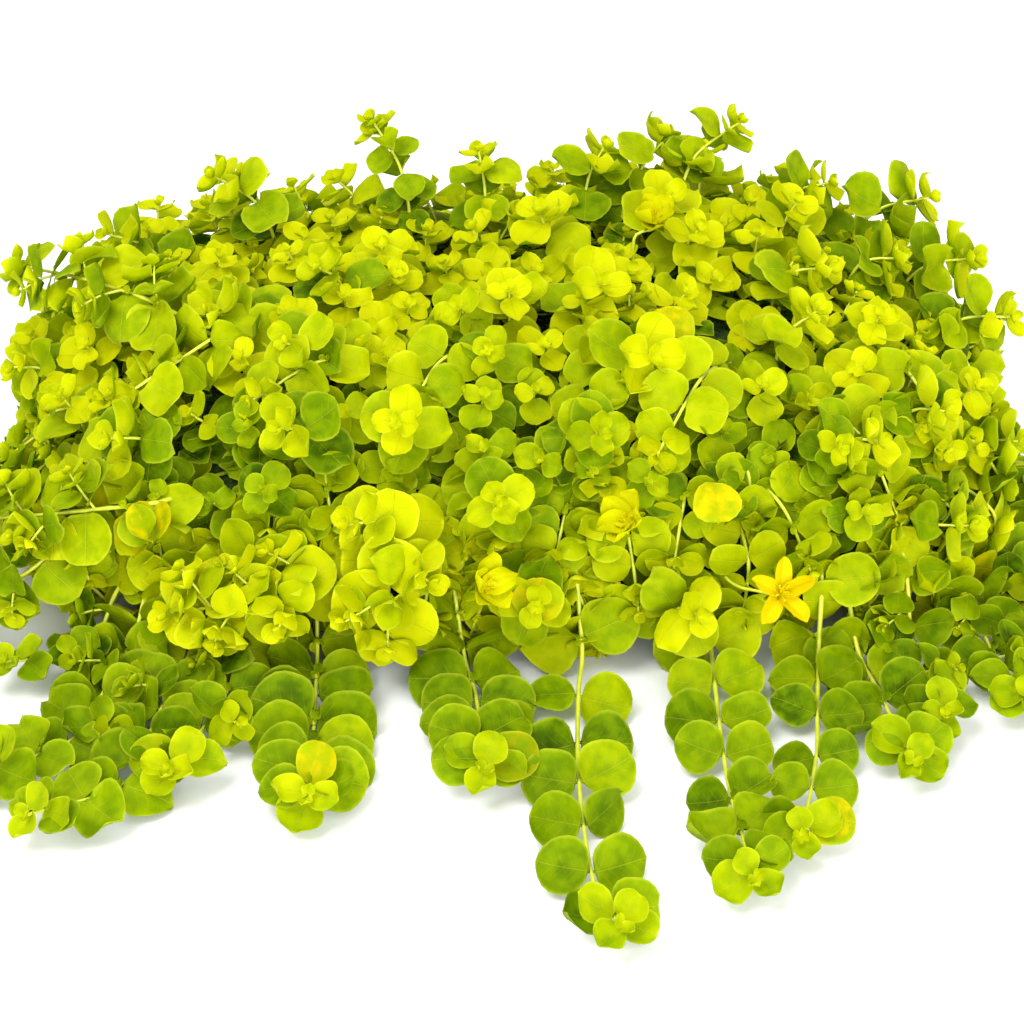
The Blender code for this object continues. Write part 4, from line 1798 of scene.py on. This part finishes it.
@dataclass(frozen=True)
class Thicket:
    """The mat's own shoots: they stand on its top and upper faces, and hang in two rows lower down.

    Round the bright places its shoots are younger and stand a little prouder.
    """

    runners: tuple[tuple[Three, ...], ...]
    turning_leaves: tuple[Three, ...]
    form: MatForm = MAT
    standing: Standing = Standing()
    hanging: Hanging = Hanging()
    running: Running = Running()
    deep: Deep = Deep()
    bright_places: tuple[Three, ...] = (
        (-28, -138, 98), (-85, -145, 42), (-30, -148, 40), (128, -50, 116), (145, -125, 100),
        (40, -75, 116), (-130, -132, 98), (-165, 0, 110), (-35, -25, 116), (75, -150, 45),
        (150, -140, 40), (188, 40, 108), (-100, -70, 110), (-160, -80, 104),
    )
    bright_radius: float = 26
    bright_young: float = 0.36
    bright_proud: float = 5
    seed: int = 11
    apart: float = 20
    tries: int = 26000
    lowest: float = 4
    sway: float = 0.2
    stem_sides: int = 4
    leaf: Two = (11.5, 18.5)
    proud: Two = (-8.0, 5.0)
    cluster: float = 45
    cluster_young: float = 0.2
    proud_young: float = 0.015
    middle_age: float = 0.28
    age_swing: float = 0.06
    turning_depth: float = 5
    turning_up: float = 0.3
    turning_in: float = 0.2
    turning_age: float = 0.5

    def dart(self, chance: random.Random) -> Vector:
        """Picks a random place on the plain form.

        Args:
            chance: the source of chance.

        Returns:
            The place.
        """
        wide, deep, high = self.form.half_width, self.form.half_depth, self.form.height
        across = chance.uniform(-wide, wide)
        along = chance.uniform(-deep, deep)
        up = chance.uniform(self.lowest, high)
        areas = (wide * deep * 2, deep * high * 2, wide * high * 2)
        side = chance.choices(tuple(Side), areas)[0]
        if side is Side.TOP:
            return self.form.on(Vector((across, along, high)))
        if side is Side.ENDS:
            return self.form.on(Vector((chance.choice((-wide, wide)), along, up)))
        return self.form.on(Vector((across, chance.choice((-deep, deep)), up)))

    def scattered(self, chance: random.Random, apart: float) -> list[Vector]:
        """Scatters places evenly on the plain form.

        Args:
            chance: the source of chance.
            apart: the least distance between two places.

        Returns:
            The places.
        """
        cells = {}
        steps = [(x, y, z) for x in (-1, 0, 1) for y in (-1, 0, 1) for z in (-1, 0, 1)]
        for _ in range(self.tries):
            place = self.dart(chance)
            cell = tuple(int(value // apart) for value in place)
            around = [(cell[0] + x, cell[1] + y, cell[2] + z) for x, y, z in steps]
            if all((place - other).length > apart for key in around for other in cells.get(key, ())):
                cells.setdefault(cell, []).append(place)
        return [place for group in cells.values() for place in group]

    def brightness(self, place: Vector) -> float:
        """How near a place is to the bright ones, up to 1."""
        nearest = min((place - Vector(bright)).length for bright in self.bright_places)
        return math.exp(-(nearest / self.bright_radius) ** 2)

    def age(self, place: Vector, level: float, chance: random.Random) -> float:
        """Says how old a shoot's tip looks.

        Args:
            place: where the shoot is.
            level: how proud it stands.
            chance: the source of chance.

        Returns:
            Its age, less in the bright places and where it stands proud.
        """
        clustered = self.cluster_young * noise.noise(place / self.cluster)
        younger = clustered + self.bright_young * self.brightness(place) + self.proud_young * level
        return self.middle_age + chance.gauss(0, self.age_swing) - younger

    def build(self, finishes: Finishes) -> None:
        """Grows every part in place of the mat's solid.

        Args:
            finishes: the finishes and the leaf forms.
        """
        chance = random.Random(self.seed)
        parts = {
            region: Foliage(region.value, seeded(region.value), sway=self.sway, stem_sides=self.stem_sides)
            for region in Region
        }
        for place in self.scattered(chance, self.apart):
            out = self.form.normal(place)
            region = Region.of(place, out)
            if region in (Region.TOP_LEFT, Region.TOP_RIGHT) or place.z > self.standing.above:
                self._standing(parts[region], place, out)
            else:
                self._hanging(parts[region], place, out)
        for place in self.scattered(chance, self.deep.apart):
            self._old_leaf(parts[Region.INSIDE], place)
        for points in self.runners:
            start = self.form.on(Vector(points[0]))
            self._runner(parts[Region.of(start, self.form.normal(start))], points)
        for place in self.turning_leaves:
            base = Vector(place)
            out = self.form.normal(self.form.on(base))
            form = YOUNG_COUNT + chance.randrange(FULL_COUNT)
            self._turning_leaf(parts[Region.of(base, out)], base, out, form)
        for region, foliage in parts.items():
            shelf = finishes.far if region in (Region.BACK, Region.INSIDE) else finishes.near
            grown(foliage, finishes, shelf, ["mat"])

    def _standing(self, foliage: Foliage, place: Vector, out: Vector) -> None:
        """Adds a shoot that stands out of the top or of an upper face.

        Args:
            foliage: the part that it is added to.
            place: where it stands, on the plain form.
            out: the way that the form faces there.
        """
        chance = foliage.chance
        sizes = self.standing
        outer = abs(place.x) / self.form.half_width
        at_edge = max(place.y / self.form.half_depth, outer - sizes.edge_from, 0.0)
        level = chance.uniform(*self.proud)
        proud = level + chance.random() * sizes.edge_proud * at_edge
        wave = sizes.wave_proud * noise.noise(place / self.cluster)
        proud += wave + self.bright_proud * self.brightness(place)
        if chance.random() < sizes.tall_chance:
            proud += sizes.tall_proud
        tip = self.form.shaped(place) + out * proud
        outward = Vector((place.x / self.form.half_width, place.y / self.form.half_depth, 0))
        loose = Vector((chance.gauss(0, sizes.swing), chance.gauss(0, sizes.swing), 0))
        way = out * sizes.out_pull + UP * sizes.up_pull + outward * sizes.edge_pull
        way = (way + FRONT * sizes.front_pull + loose).normalized()
        root = tip - way * sizes.length * sizes.root_back - UP * sizes.length * sizes.root_down
        path = Path([root, tip - way * sizes.length * sizes.bend_back, tip])
        foliage.stem(path, *sizes.radii)
        leaf = chance.uniform(*self.leaf)
        at_front = max(0.0, -place.y / self.form.half_depth - sizes.front_from)
        age = self.age(place, level, chance) - sizes.younger - sizes.ends_younger * outer
        age += sizes.front_older * at_front
        older = GROWTH.shoot_older * (sizes.root_older + sizes.front_root_older * at_front)
        Grower(foliage).crosswise(path, leaf, age, sizes.bare, older, self.form.light(place))

    def _hanging(self, foliage: Foliage, place: Vector, out: Vector) -> None:
        """Adds a shoot that hangs down a face with its leaves in two rows and its tip turned up.

        Args:
            foliage: the part that it is added to.
            place: where its tip is, on the plain form.
            out: the way that the form faces there.
        """
        chance = foliage.chance
        sizes = self.hanging
        down = (out * out.z - UP).normalized()
        side = out.cross(down)
        way = (down + side * chance.gauss(0, sizes.swing)).normalized()
        bright = self.brightness(place)
        low = 1 - place.z / self.form.height
        level = chance.uniform(*self.proud)
        proud = level + self.bright_proud * bright + sizes.foot_proud * max(0.0, low - sizes.foot_from)
        route = []
        for back, depth in sizes.route:
            over = self.form.on(place - way * sizes.length * back)
            raised = proud + chance.gauss(0, sizes.route_swing) - depth
            route.append(self.form.shaped(over) + self.form.normal(over) * raised)
        path = Path(route)
        foliage.stem(path, *sizes.radii)
        young = self.age(place, level, chance)
        light = out * sizes.out_pull + UP * sizes.up_pull
        leaf = chance.uniform(*self.leaf) + sizes.foot_larger * low
        spacing = sizes.spacing * chance.uniform(*sizes.spacings)
        at_tip, at_middle, at_root = sizes.ages
        # At the foot the leaves are younger and brighter: painted light in the overhang's shade.
        tip_less, middle_less, root_less = sizes.foot_painted_light
        ages = (
            young + at_tip - tip_less * low,
            at_middle - middle_less * low - sizes.bright_younger * bright,
            at_root - root_less * low,
        )
        Grower(foliage).two_rows(path, leaf, spacing, ages, sizes.bare, light, sizes.lean)

    def _runner(self, foliage: Foliage, points: Sequence[Three]) -> None:
        """Adds a longer stem that runs over the mat a little above the other shoots.

        Args:
            foliage: the part that it is added to.
            points: the places that it runs over, from its root to its tip.
        """
        sizes = self.running
        route = []
        for index, point in enumerate(points):
            over = self.form.on(Vector(point))
            height = sizes.height if index else sizes.root_height
            route.append(self.form.shaped(over) + self.form.normal(over) * height)
        path = Path(route)
        foliage.stem(path, *sizes.radii)
        out = self.form.normal(self.form.on(Vector(points[-1])))
        light = out + UP * sizes.up_pull + FRONT * sizes.front_pull
        leaf = self.leaf[1] - sizes.smaller
        Grower(foliage).two_rows(path, leaf, sizes.spacing, sizes.ages, sizes.bare, light)

    def _turning_leaf(self, foliage: Foliage, place: Vector, out: Vector, form: int) -> None:
        """Adds a large leaf that has turned orange.

        Args:
            foliage: the part that it is added to.
            place: where it is.
            out: the way that the mat faces there.
            form: the number of its form.
        """
        base = place - out * self.turning_depth
        along = UP * self.turning_up - out * self.turning_in
        foliage.leaf(base, along, out, self.leaf[1], self.turning_age, form, turning=True)

    def _old_leaf(self, foliage: Foliage, place: Vector) -> None:
        """Adds a dark leaf deep under the others, its darkness partly painted shade.

        Args:
            foliage: the part that it is added to.
            place: the place on the plain form above it.
        """
        chance = foliage.chance
        sizes = self.deep
        out = self.form.normal(place)
        base = self.form.shaped(place) - out * chance.uniform(*sizes.depths)
        along = turned(out.orthogonal().normalized(), out, chance.uniform(0, 360))
        along += out * chance.uniform(*sizes.rises)
        loose = Vector((chance.gauss(0, sizes.swing), chance.gauss(0, sizes.swing), 0))
        facing = out + UP * sizes.up_pull + loose
        form = YOUNG_COUNT + chance.randrange(FULL_COUNT)
        foliage.leaf(base, along, facing, chance.uniform(*self.leaf), chance.uniform(*sizes.ages), form)


@dataclass(frozen=True)
class Core:
    """The solid middle of the mat, painted dark as the shade deep among the leaves, and cut off flat where
    the plant rests on the floor.
    """

    name: str = "thicket_core"
    form: MatForm = MAT
    depth: float = 23
    lump: float = 4
    lump_size: float = 14
    steps: int = 5
    underside: float = -0.9

    def build(self, finishes: Finishes) -> bpy.types.Object:
        """Makes it from a ball that is drawn out to the mat's form and cut through at the floor.

        Args:
            finishes: the finishes and the leaf forms.

        Returns:
            The piece.
        """
        made = bmesh.new()
        bmesh.ops.create_icosphere(made, subdivisions=self.steps, radius=1.0)
        for vert in made.verts:
            place = self.form.on(vert.co * self.form.height)
            inside = self.form.normal(place) * (self.depth + self.lump * noise.noise(place / self.lump_size))
            low = place.z < 0
            vert.co = (self.form.shaped(Vector((place.x, place.y, max(0.0, place.z)))) - inside) * MM
            if low:
                vert.co.z = place.z * MM
        whole = [*made.verts, *made.edges, *made.faces]
        cut = bmesh.ops.bisect_plane(
            made, geom=whole, plane_co=(0, 0, 0), plane_no=(0, 0, -1), clear_outer=True
        )
        rim = [item for item in cut["geom_cut"] if isinstance(item, bmesh.types.BMEdge)]
        bmesh.ops.contextual_create(made, geom=rim)
        bmesh.ops.recalc_face_normals(made, faces=made.faces)
        for face in made.faces:
            face.smooth = face.normal.z > self.underside
        mesh = meshed(made, self.name)
        mesh.materials.append(finishes.thatch)
        core = placed(self.name, mesh)
        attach(core, BODY)
        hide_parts("mat")
        LOG.info("%s: %d faces", self.name, len(mesh.polygons))
        return core


@dataclass(frozen=True)
class Lamp:
    """A broad soft lamp: its place and its width in metres, and its power in watts."""

    name: str
    place: Three
    width: float
    power: float


@dataclass(frozen=True)
class Stage:
    """The floor, the soft light and the camera, in metres and degrees."""

    floor_side: float = 30.0
    floor_shade: float = 0.84
    floor_roughness: float = 0.9
    sky: float = 1.1
    lamps: tuple[Lamp, ...] = (
        Lamp("key", (-0.9, -1.1, 2.4), 1.6, 56),
        Lamp("fill", (0.6, -2.2, 0.5), 2.2, 68),
    )
    target: Three = (0.0, -0.102, 0.045)
    distance: float = 1.0
    elevation: float = 30.0
    lens: float = 85.0

    def build(self) -> None:
        """Makes them all."""
        self._floor()
        self._world()
        for lamp in self.lamps:
            self._lamp(lamp)
        self._camera()

    def _floor(self) -> None:
        """A plain pale floor."""
        made = bmesh.new()
        bmesh.ops.create_grid(made, x_segments=1, y_segments=1, size=self.floor_side / 2)
        mesh = meshed(made, "floor")
        material, write = new_material("pale_floor")
        shade = (self.floor_shade, self.floor_shade, self.floor_shade, 1.0)
        inputs = {"Base Color": shade, "Roughness": self.floor_roughness}
        face = write.add("ShaderNodeBsdfPrincipled", inputs)
        write.add("ShaderNodeOutputMaterial", {"Surface": face.outputs[0]})
        mesh.materials.append(material)
        floor = placed("floor", mesh)

    def _world(self) -> None:
        """An even white light from all round."""
        world = bpy.data.worlds.new("soft_white")
        world.use_nodes = True
        background = world.node_tree.nodes["Background"]
        background.inputs["Color"].default_value = (1.0, 1.0, 1.0, 1.0)
        background.inputs["Strength"].default_value = self.sky
        bpy.context.scene.world = world
        bpy.context.scene.view_settings.view_transform = "Standard"

    def _lamp(self, lamp: Lamp) -> None:
        """Hangs a lamp so that it looks at the plant.

        Args:
            lamp: its place, width and power.
        """
        light = bpy.data.lights.new(lamp.name, "AREA")
        light.shape = "DISK"
        light.size = lamp.width
        light.energy = lamp.power
        self._aim(placed(lamp.name, light), Vector(lamp.place))

    def _camera(self) -> None:
        """The camera at the photograph's angle."""
        angle = math.radians(self.elevation)
        lens = bpy.data.cameras.new("camera")
        lens.lens = self.lens
        camera = placed("camera", lens)
        away = Vector((0, -math.cos(angle), math.sin(angle)))
        self._aim(camera, Vector(self.target) + away * self.distance)
        bpy.context.scene.camera = camera

    def _aim(self, item: bpy.types.Object, place: Vector) -> None:
        """Puts a lamp or the camera in its place and turns it to the plant."""
        item.location = place
        item.rotation_euler = (Vector(self.target) - place).to_track_quat("-Z", "Y").to_euler()


RUNNERS = (
    ((-70, -30, 110), (-110, -60, 110), (-150, -88, 104), (-186, -104, 92)),
    ((-120, 10, 110), (-150, -20, 110), (-184, -44, 106)),
    ((-40, -70, 110), (-78, -92, 108), (-112, -112, 100)),
    ((-10, -60, 110), (-30, -94, 108), (-48, -126, 96)),
    ((20, -86, 108), (34, -116, 100), (40, -142, 80)),
    ((96, -70, 110), (80, -104, 104), (62, -134, 88)),
    ((150, -50, 110), (176, -84, 100), (192, -112, 78)),
    ((120, -90, 104), (150, -120, 90), (170, -136, 62)),
    ((180, 0, 108), (204, -30, 92), (214, -64, 70)),
    ((-150, -100, 96), (-184, -122, 78), (-204, -132, 52)),
)
TURNING_LEAVES = ((-143, -150, 56), (-152, -148, 48), (81, -155, 68), (9, -175, 34), (65, -90, 117))
TRAILS = (
    Trail("trail_left_side", 18, 17,
          ((-210, 5, 26), (-219, 0, 10), (-232, -25, 8), (-236, -58, 13)), branches=2),
    Trail("trail_left_corner", 14, 19,
          ((-160, -130, 26), (-168, -144, 11), (-178, -152, 8), (-194, -164, 13)), branches=2),
    Trail("trail_left_outer", 18, 16,
          ((-146, -136, 32), (-153, -152, 11), (-160, -176, 8), (-168, -212, 8), (-192, -236, 13)),
          branches=2),
    Trail("trail_left_inner", 18, 16,
          ((-124, -139, 26), (-130, -158, 10), (-138, -200, 8), (-144, -240, 8), (-169, -262, 13)),
          branches=2),
    Trail("trail_broad", 19, 25,
          ((-102, -140, 30), (-106, -157, 11), (-112, -180, 9), (-119, -207, 9), (-125, -237, 15)),
          branches=2, ages=(0.24, 0.68, 0.24)),
    Trail("trail_double_row", 21, 14,
          ((-78, -141, 34), (-78, -158, 11), (-77, -184, 8), (-76, -217, 8), (-75, -250, 14)),
          ages=(0.3, 0.74, 0.36)),
    Trail("trail_short", 20, 17,
          ((-24, -142, 42), (-19, -159, 11), (-14, -184, 8), (-11, -226, 14)), longer=17),
    Trail("trail_longest", 20, 28,
          ((25, -142, 46), (28, -158, 14), (26, -184, 8), (25, -240, 8), (29, -300, 8), (35, -322, 13)),
          longer=9, bare=30),
    Trail("trail_right_long", 18, 24,
          ((77, -142, 30), (80, -159, 11), (80, -207, 8), (81, -251, 8), (84, -292, 13)), longer=12),
    Trail("trail_right_mid", 18, 25,
          ((124, -136, 42), (123, -156, 13), (119, -190, 8), (115, -223, 8), (105, -272, 13))),
    Trail("trail_thick_stem", 19, 18,
          ((134, -134, 34), (139, -154, 11), (144, -178, 8), (149, -226, 13))),
    Trail("trail_bright_tip", 15, 20,
          ((157, -131, 44), (161, -150, 13), (164, -172, 8), (165, -199, 14)), branches=2),
    Trail("trail_right_outer", 17, 14,
          ((182, -118, 34), (191, -134, 12), (195, -156, 8), (199, -187, 13)), branches=2),
    Trail("trail_right_corner", 17, 14,
          ((200, -88, 30), (212, -104, 11), (217, -126, 8), (219, -154, 13)), branches=2),
    Trail("trail_right_side", 18, 16,
          ((210, -10, 30), (221, -14, 10), (232, -32, 8), (241, -62, 13)), branches=2),
    Trail("trail_back_left", 19, 18,
          ((-90, 141, 30), (-94, 159, 11), (-99, 180, 8), (-108, 205, 13))),
    Trail("trail_back_mid", 19, 18,
          ((20, 142, 34), (23, 161, 11), (26, 185, 8), (24, 214, 13))),
    Trail("trail_back_right", 19, 18,
          ((122, 139, 30), (127, 158, 11), (134, 178, 8), (146, 200, 13))),
)
FRONT_LIGHT = (0.0, -0.7, 0.7)
SPRAYS = (
    Trail("spray_left_low", 18, 17,
          ((-140, -130, 66), (-170, -130, 62), (-200, -118, 52), (-228, -102, 42)),
          branches=4, ages=(0.1, 0.5, 0.5), light=FRONT_LIGHT, lean=15),
    Trail("spray_left_corner", 17, 16,
          ((-176, -122, 46), (-197, -137, 36), (-215, -140, 27), (-232, -138, 20)),
          branches=3, ages=(0.2, 0.6, 0.6), light=FRONT_LIGHT, lean=15),
    Trail("spray_left_arch", 18, 18,
          ((-112, -76, 104), (-146, -50, 114), (-180, -24, 114), (-214, 10, 105)),
          branches=4, ages=(0.12, 0.45, 0.45), light=FRONT_LIGHT, lean=15),
    Trail("spray_broad_hanging", 20, 13,
          ((-47, -144, 66), (-48, -163, 50), (-49, -172, 24)),
          longer=0, branches=3, ages=(-0.2, -0.08, 0.0), light=FRONT_LIGHT, in_rows=False),
    Trail("spray_front_left", 19, 13,
          ((-76, -148, 46), (-100, -162, 40), (-128, -162, 35)),
          branches=5, ages=(-0.16, -0.04, 0.0), light=FRONT_LIGHT, in_rows=False),
)
SHOOTS = (
    Sprig("sprig_back_left", (-64, 78, 148), 12),
    Sprig("sprig_back_middle", (-15, 60, 140), 14),
    Sprig("sprig_back_right", (42, 70, 138), 16),
    Sprig("sprig_back_tall", (104, 80, 146), 14),
    Sprig("sprig_back_pair", (73, 82, 139), 16),
    Sprig("sprig_right", (143, 52, 128), 15),
    Sprig("sprig_right_corner", (190, 56, 119), 18),
    Sprig("sprig_right_edge", (214, -28, 99), 15),
    Sprig("sprig_right_shoulder", (206, 22, 104), 17),
    Sprig("sprig_left", (-134, 50, 132), 16),
    Sprig("sprig_left_corner", (-180, 26, 114), 17),
    Sprig("sprig_left_edge", (-214, -38, 80), 14),
    Shoot("shoot_top_left", (-82, -34, 125), 20),
    Shoot("shoot_top_front", (-22, -67, 122), 19),
    Shoot("shoot_top_middle", (37, -54, 126), 21, -0.08),
    Shoot("shoot_top_bright", (56, -103, 118), 22, -0.08),
    Shoot("shoot_top_right", (134, -27, 121), 21, -0.08),
    Shoot("shoot_top_far_right", (170, 2, 113), 20, 0.12),
    Shoot("shoot_shoulder_left", (-126, -63, 118), 20, 0.1),
    Shoot("shoot_shoulder_front", (-91, -93, 118), 20),
    Shoot("shoot_face_bright", (-45, -134, 104), 18, -0.08),
    Shoot("shoot_face_left", (-91, -132, 100), 19, 0.18),
    Shoot("shoot_face_far_left", (-160, -120, 89), 19),
    Shoot("shoot_face_right", (145, -127, 92), 20, 0.18),
    Shoot("shoot_face_far_right", (175, -102, 92), 20),
    Shoot("shoot_face_middle", (35, -136, 100), 17, 0.3),
    Shoot("shoot_face_low", (-5, -155, 80), 18),
    Shoot("shoot_edge_right", (183, -132, 56), 18),
    Shoot("shoot_side_right", (213, -72, 62), 18),
    Shoot("shoot_front_right", (73, -167, 36), 20, -0.06),
    Shoot("shoot_front_middle", (9, -170, 42), 18),
)
FLOWERS = (
    Flower("flower_front", (104, -171, 48), (0.25, -0.7, 0.6), Petals.OPEN),
    Flower("flower_low", (-12, -168, 50), (0.5, -0.7, 0.5)),
    Flower("flower_middle", (46, -158, 72), (-0.5, -0.55, 0.7)),
    Flower("flower_top", (62, 6, 128), (0.0, -0.5, 0.8)),
)


def main() -> None:
    """Builds the stage and every sub-assembly in order."""
    logging.basicConfig(level=logging.INFO, format="%(name)s: %(message)s")
    Stage().build()
    patterns = Patterns(mottle_group(), vein_group())
    every_form = (*YOUNG_FORMS, *FULL_FORMS)
    finishes = Finishes(
        tree=GrowingTree(),
        close=FormShelf("close_leaves", every_form, Detail.CLOSE),
        near=FormShelf("near_leaves", every_form, Detail.NEAR),
        far=FormShelf("far_leaves", every_form, Detail.FAR),
        petals=FormShelf("petal_forms", PETAL_FORMS, Detail.CLOSE),
        sepals=FormShelf("sepal_forms", (SEPAL_FORM,), Detail.NEAR),
        leaf=LeafFinish().build(patterns),
        stem=StemFinish().build(patterns),
        petal=PetalFinish().build(patterns),
        thatch=ThatchFinish().build(patterns),
    )
    Thicket(RUNNERS, TURNING_LEAVES).build(finishes)
    Core().build(finishes)
    for part in (*TRAILS, *SPRAYS, *SHOOTS, *FLOWERS):
        part.build(finishes)


if __name__ == "__main__":
    main()
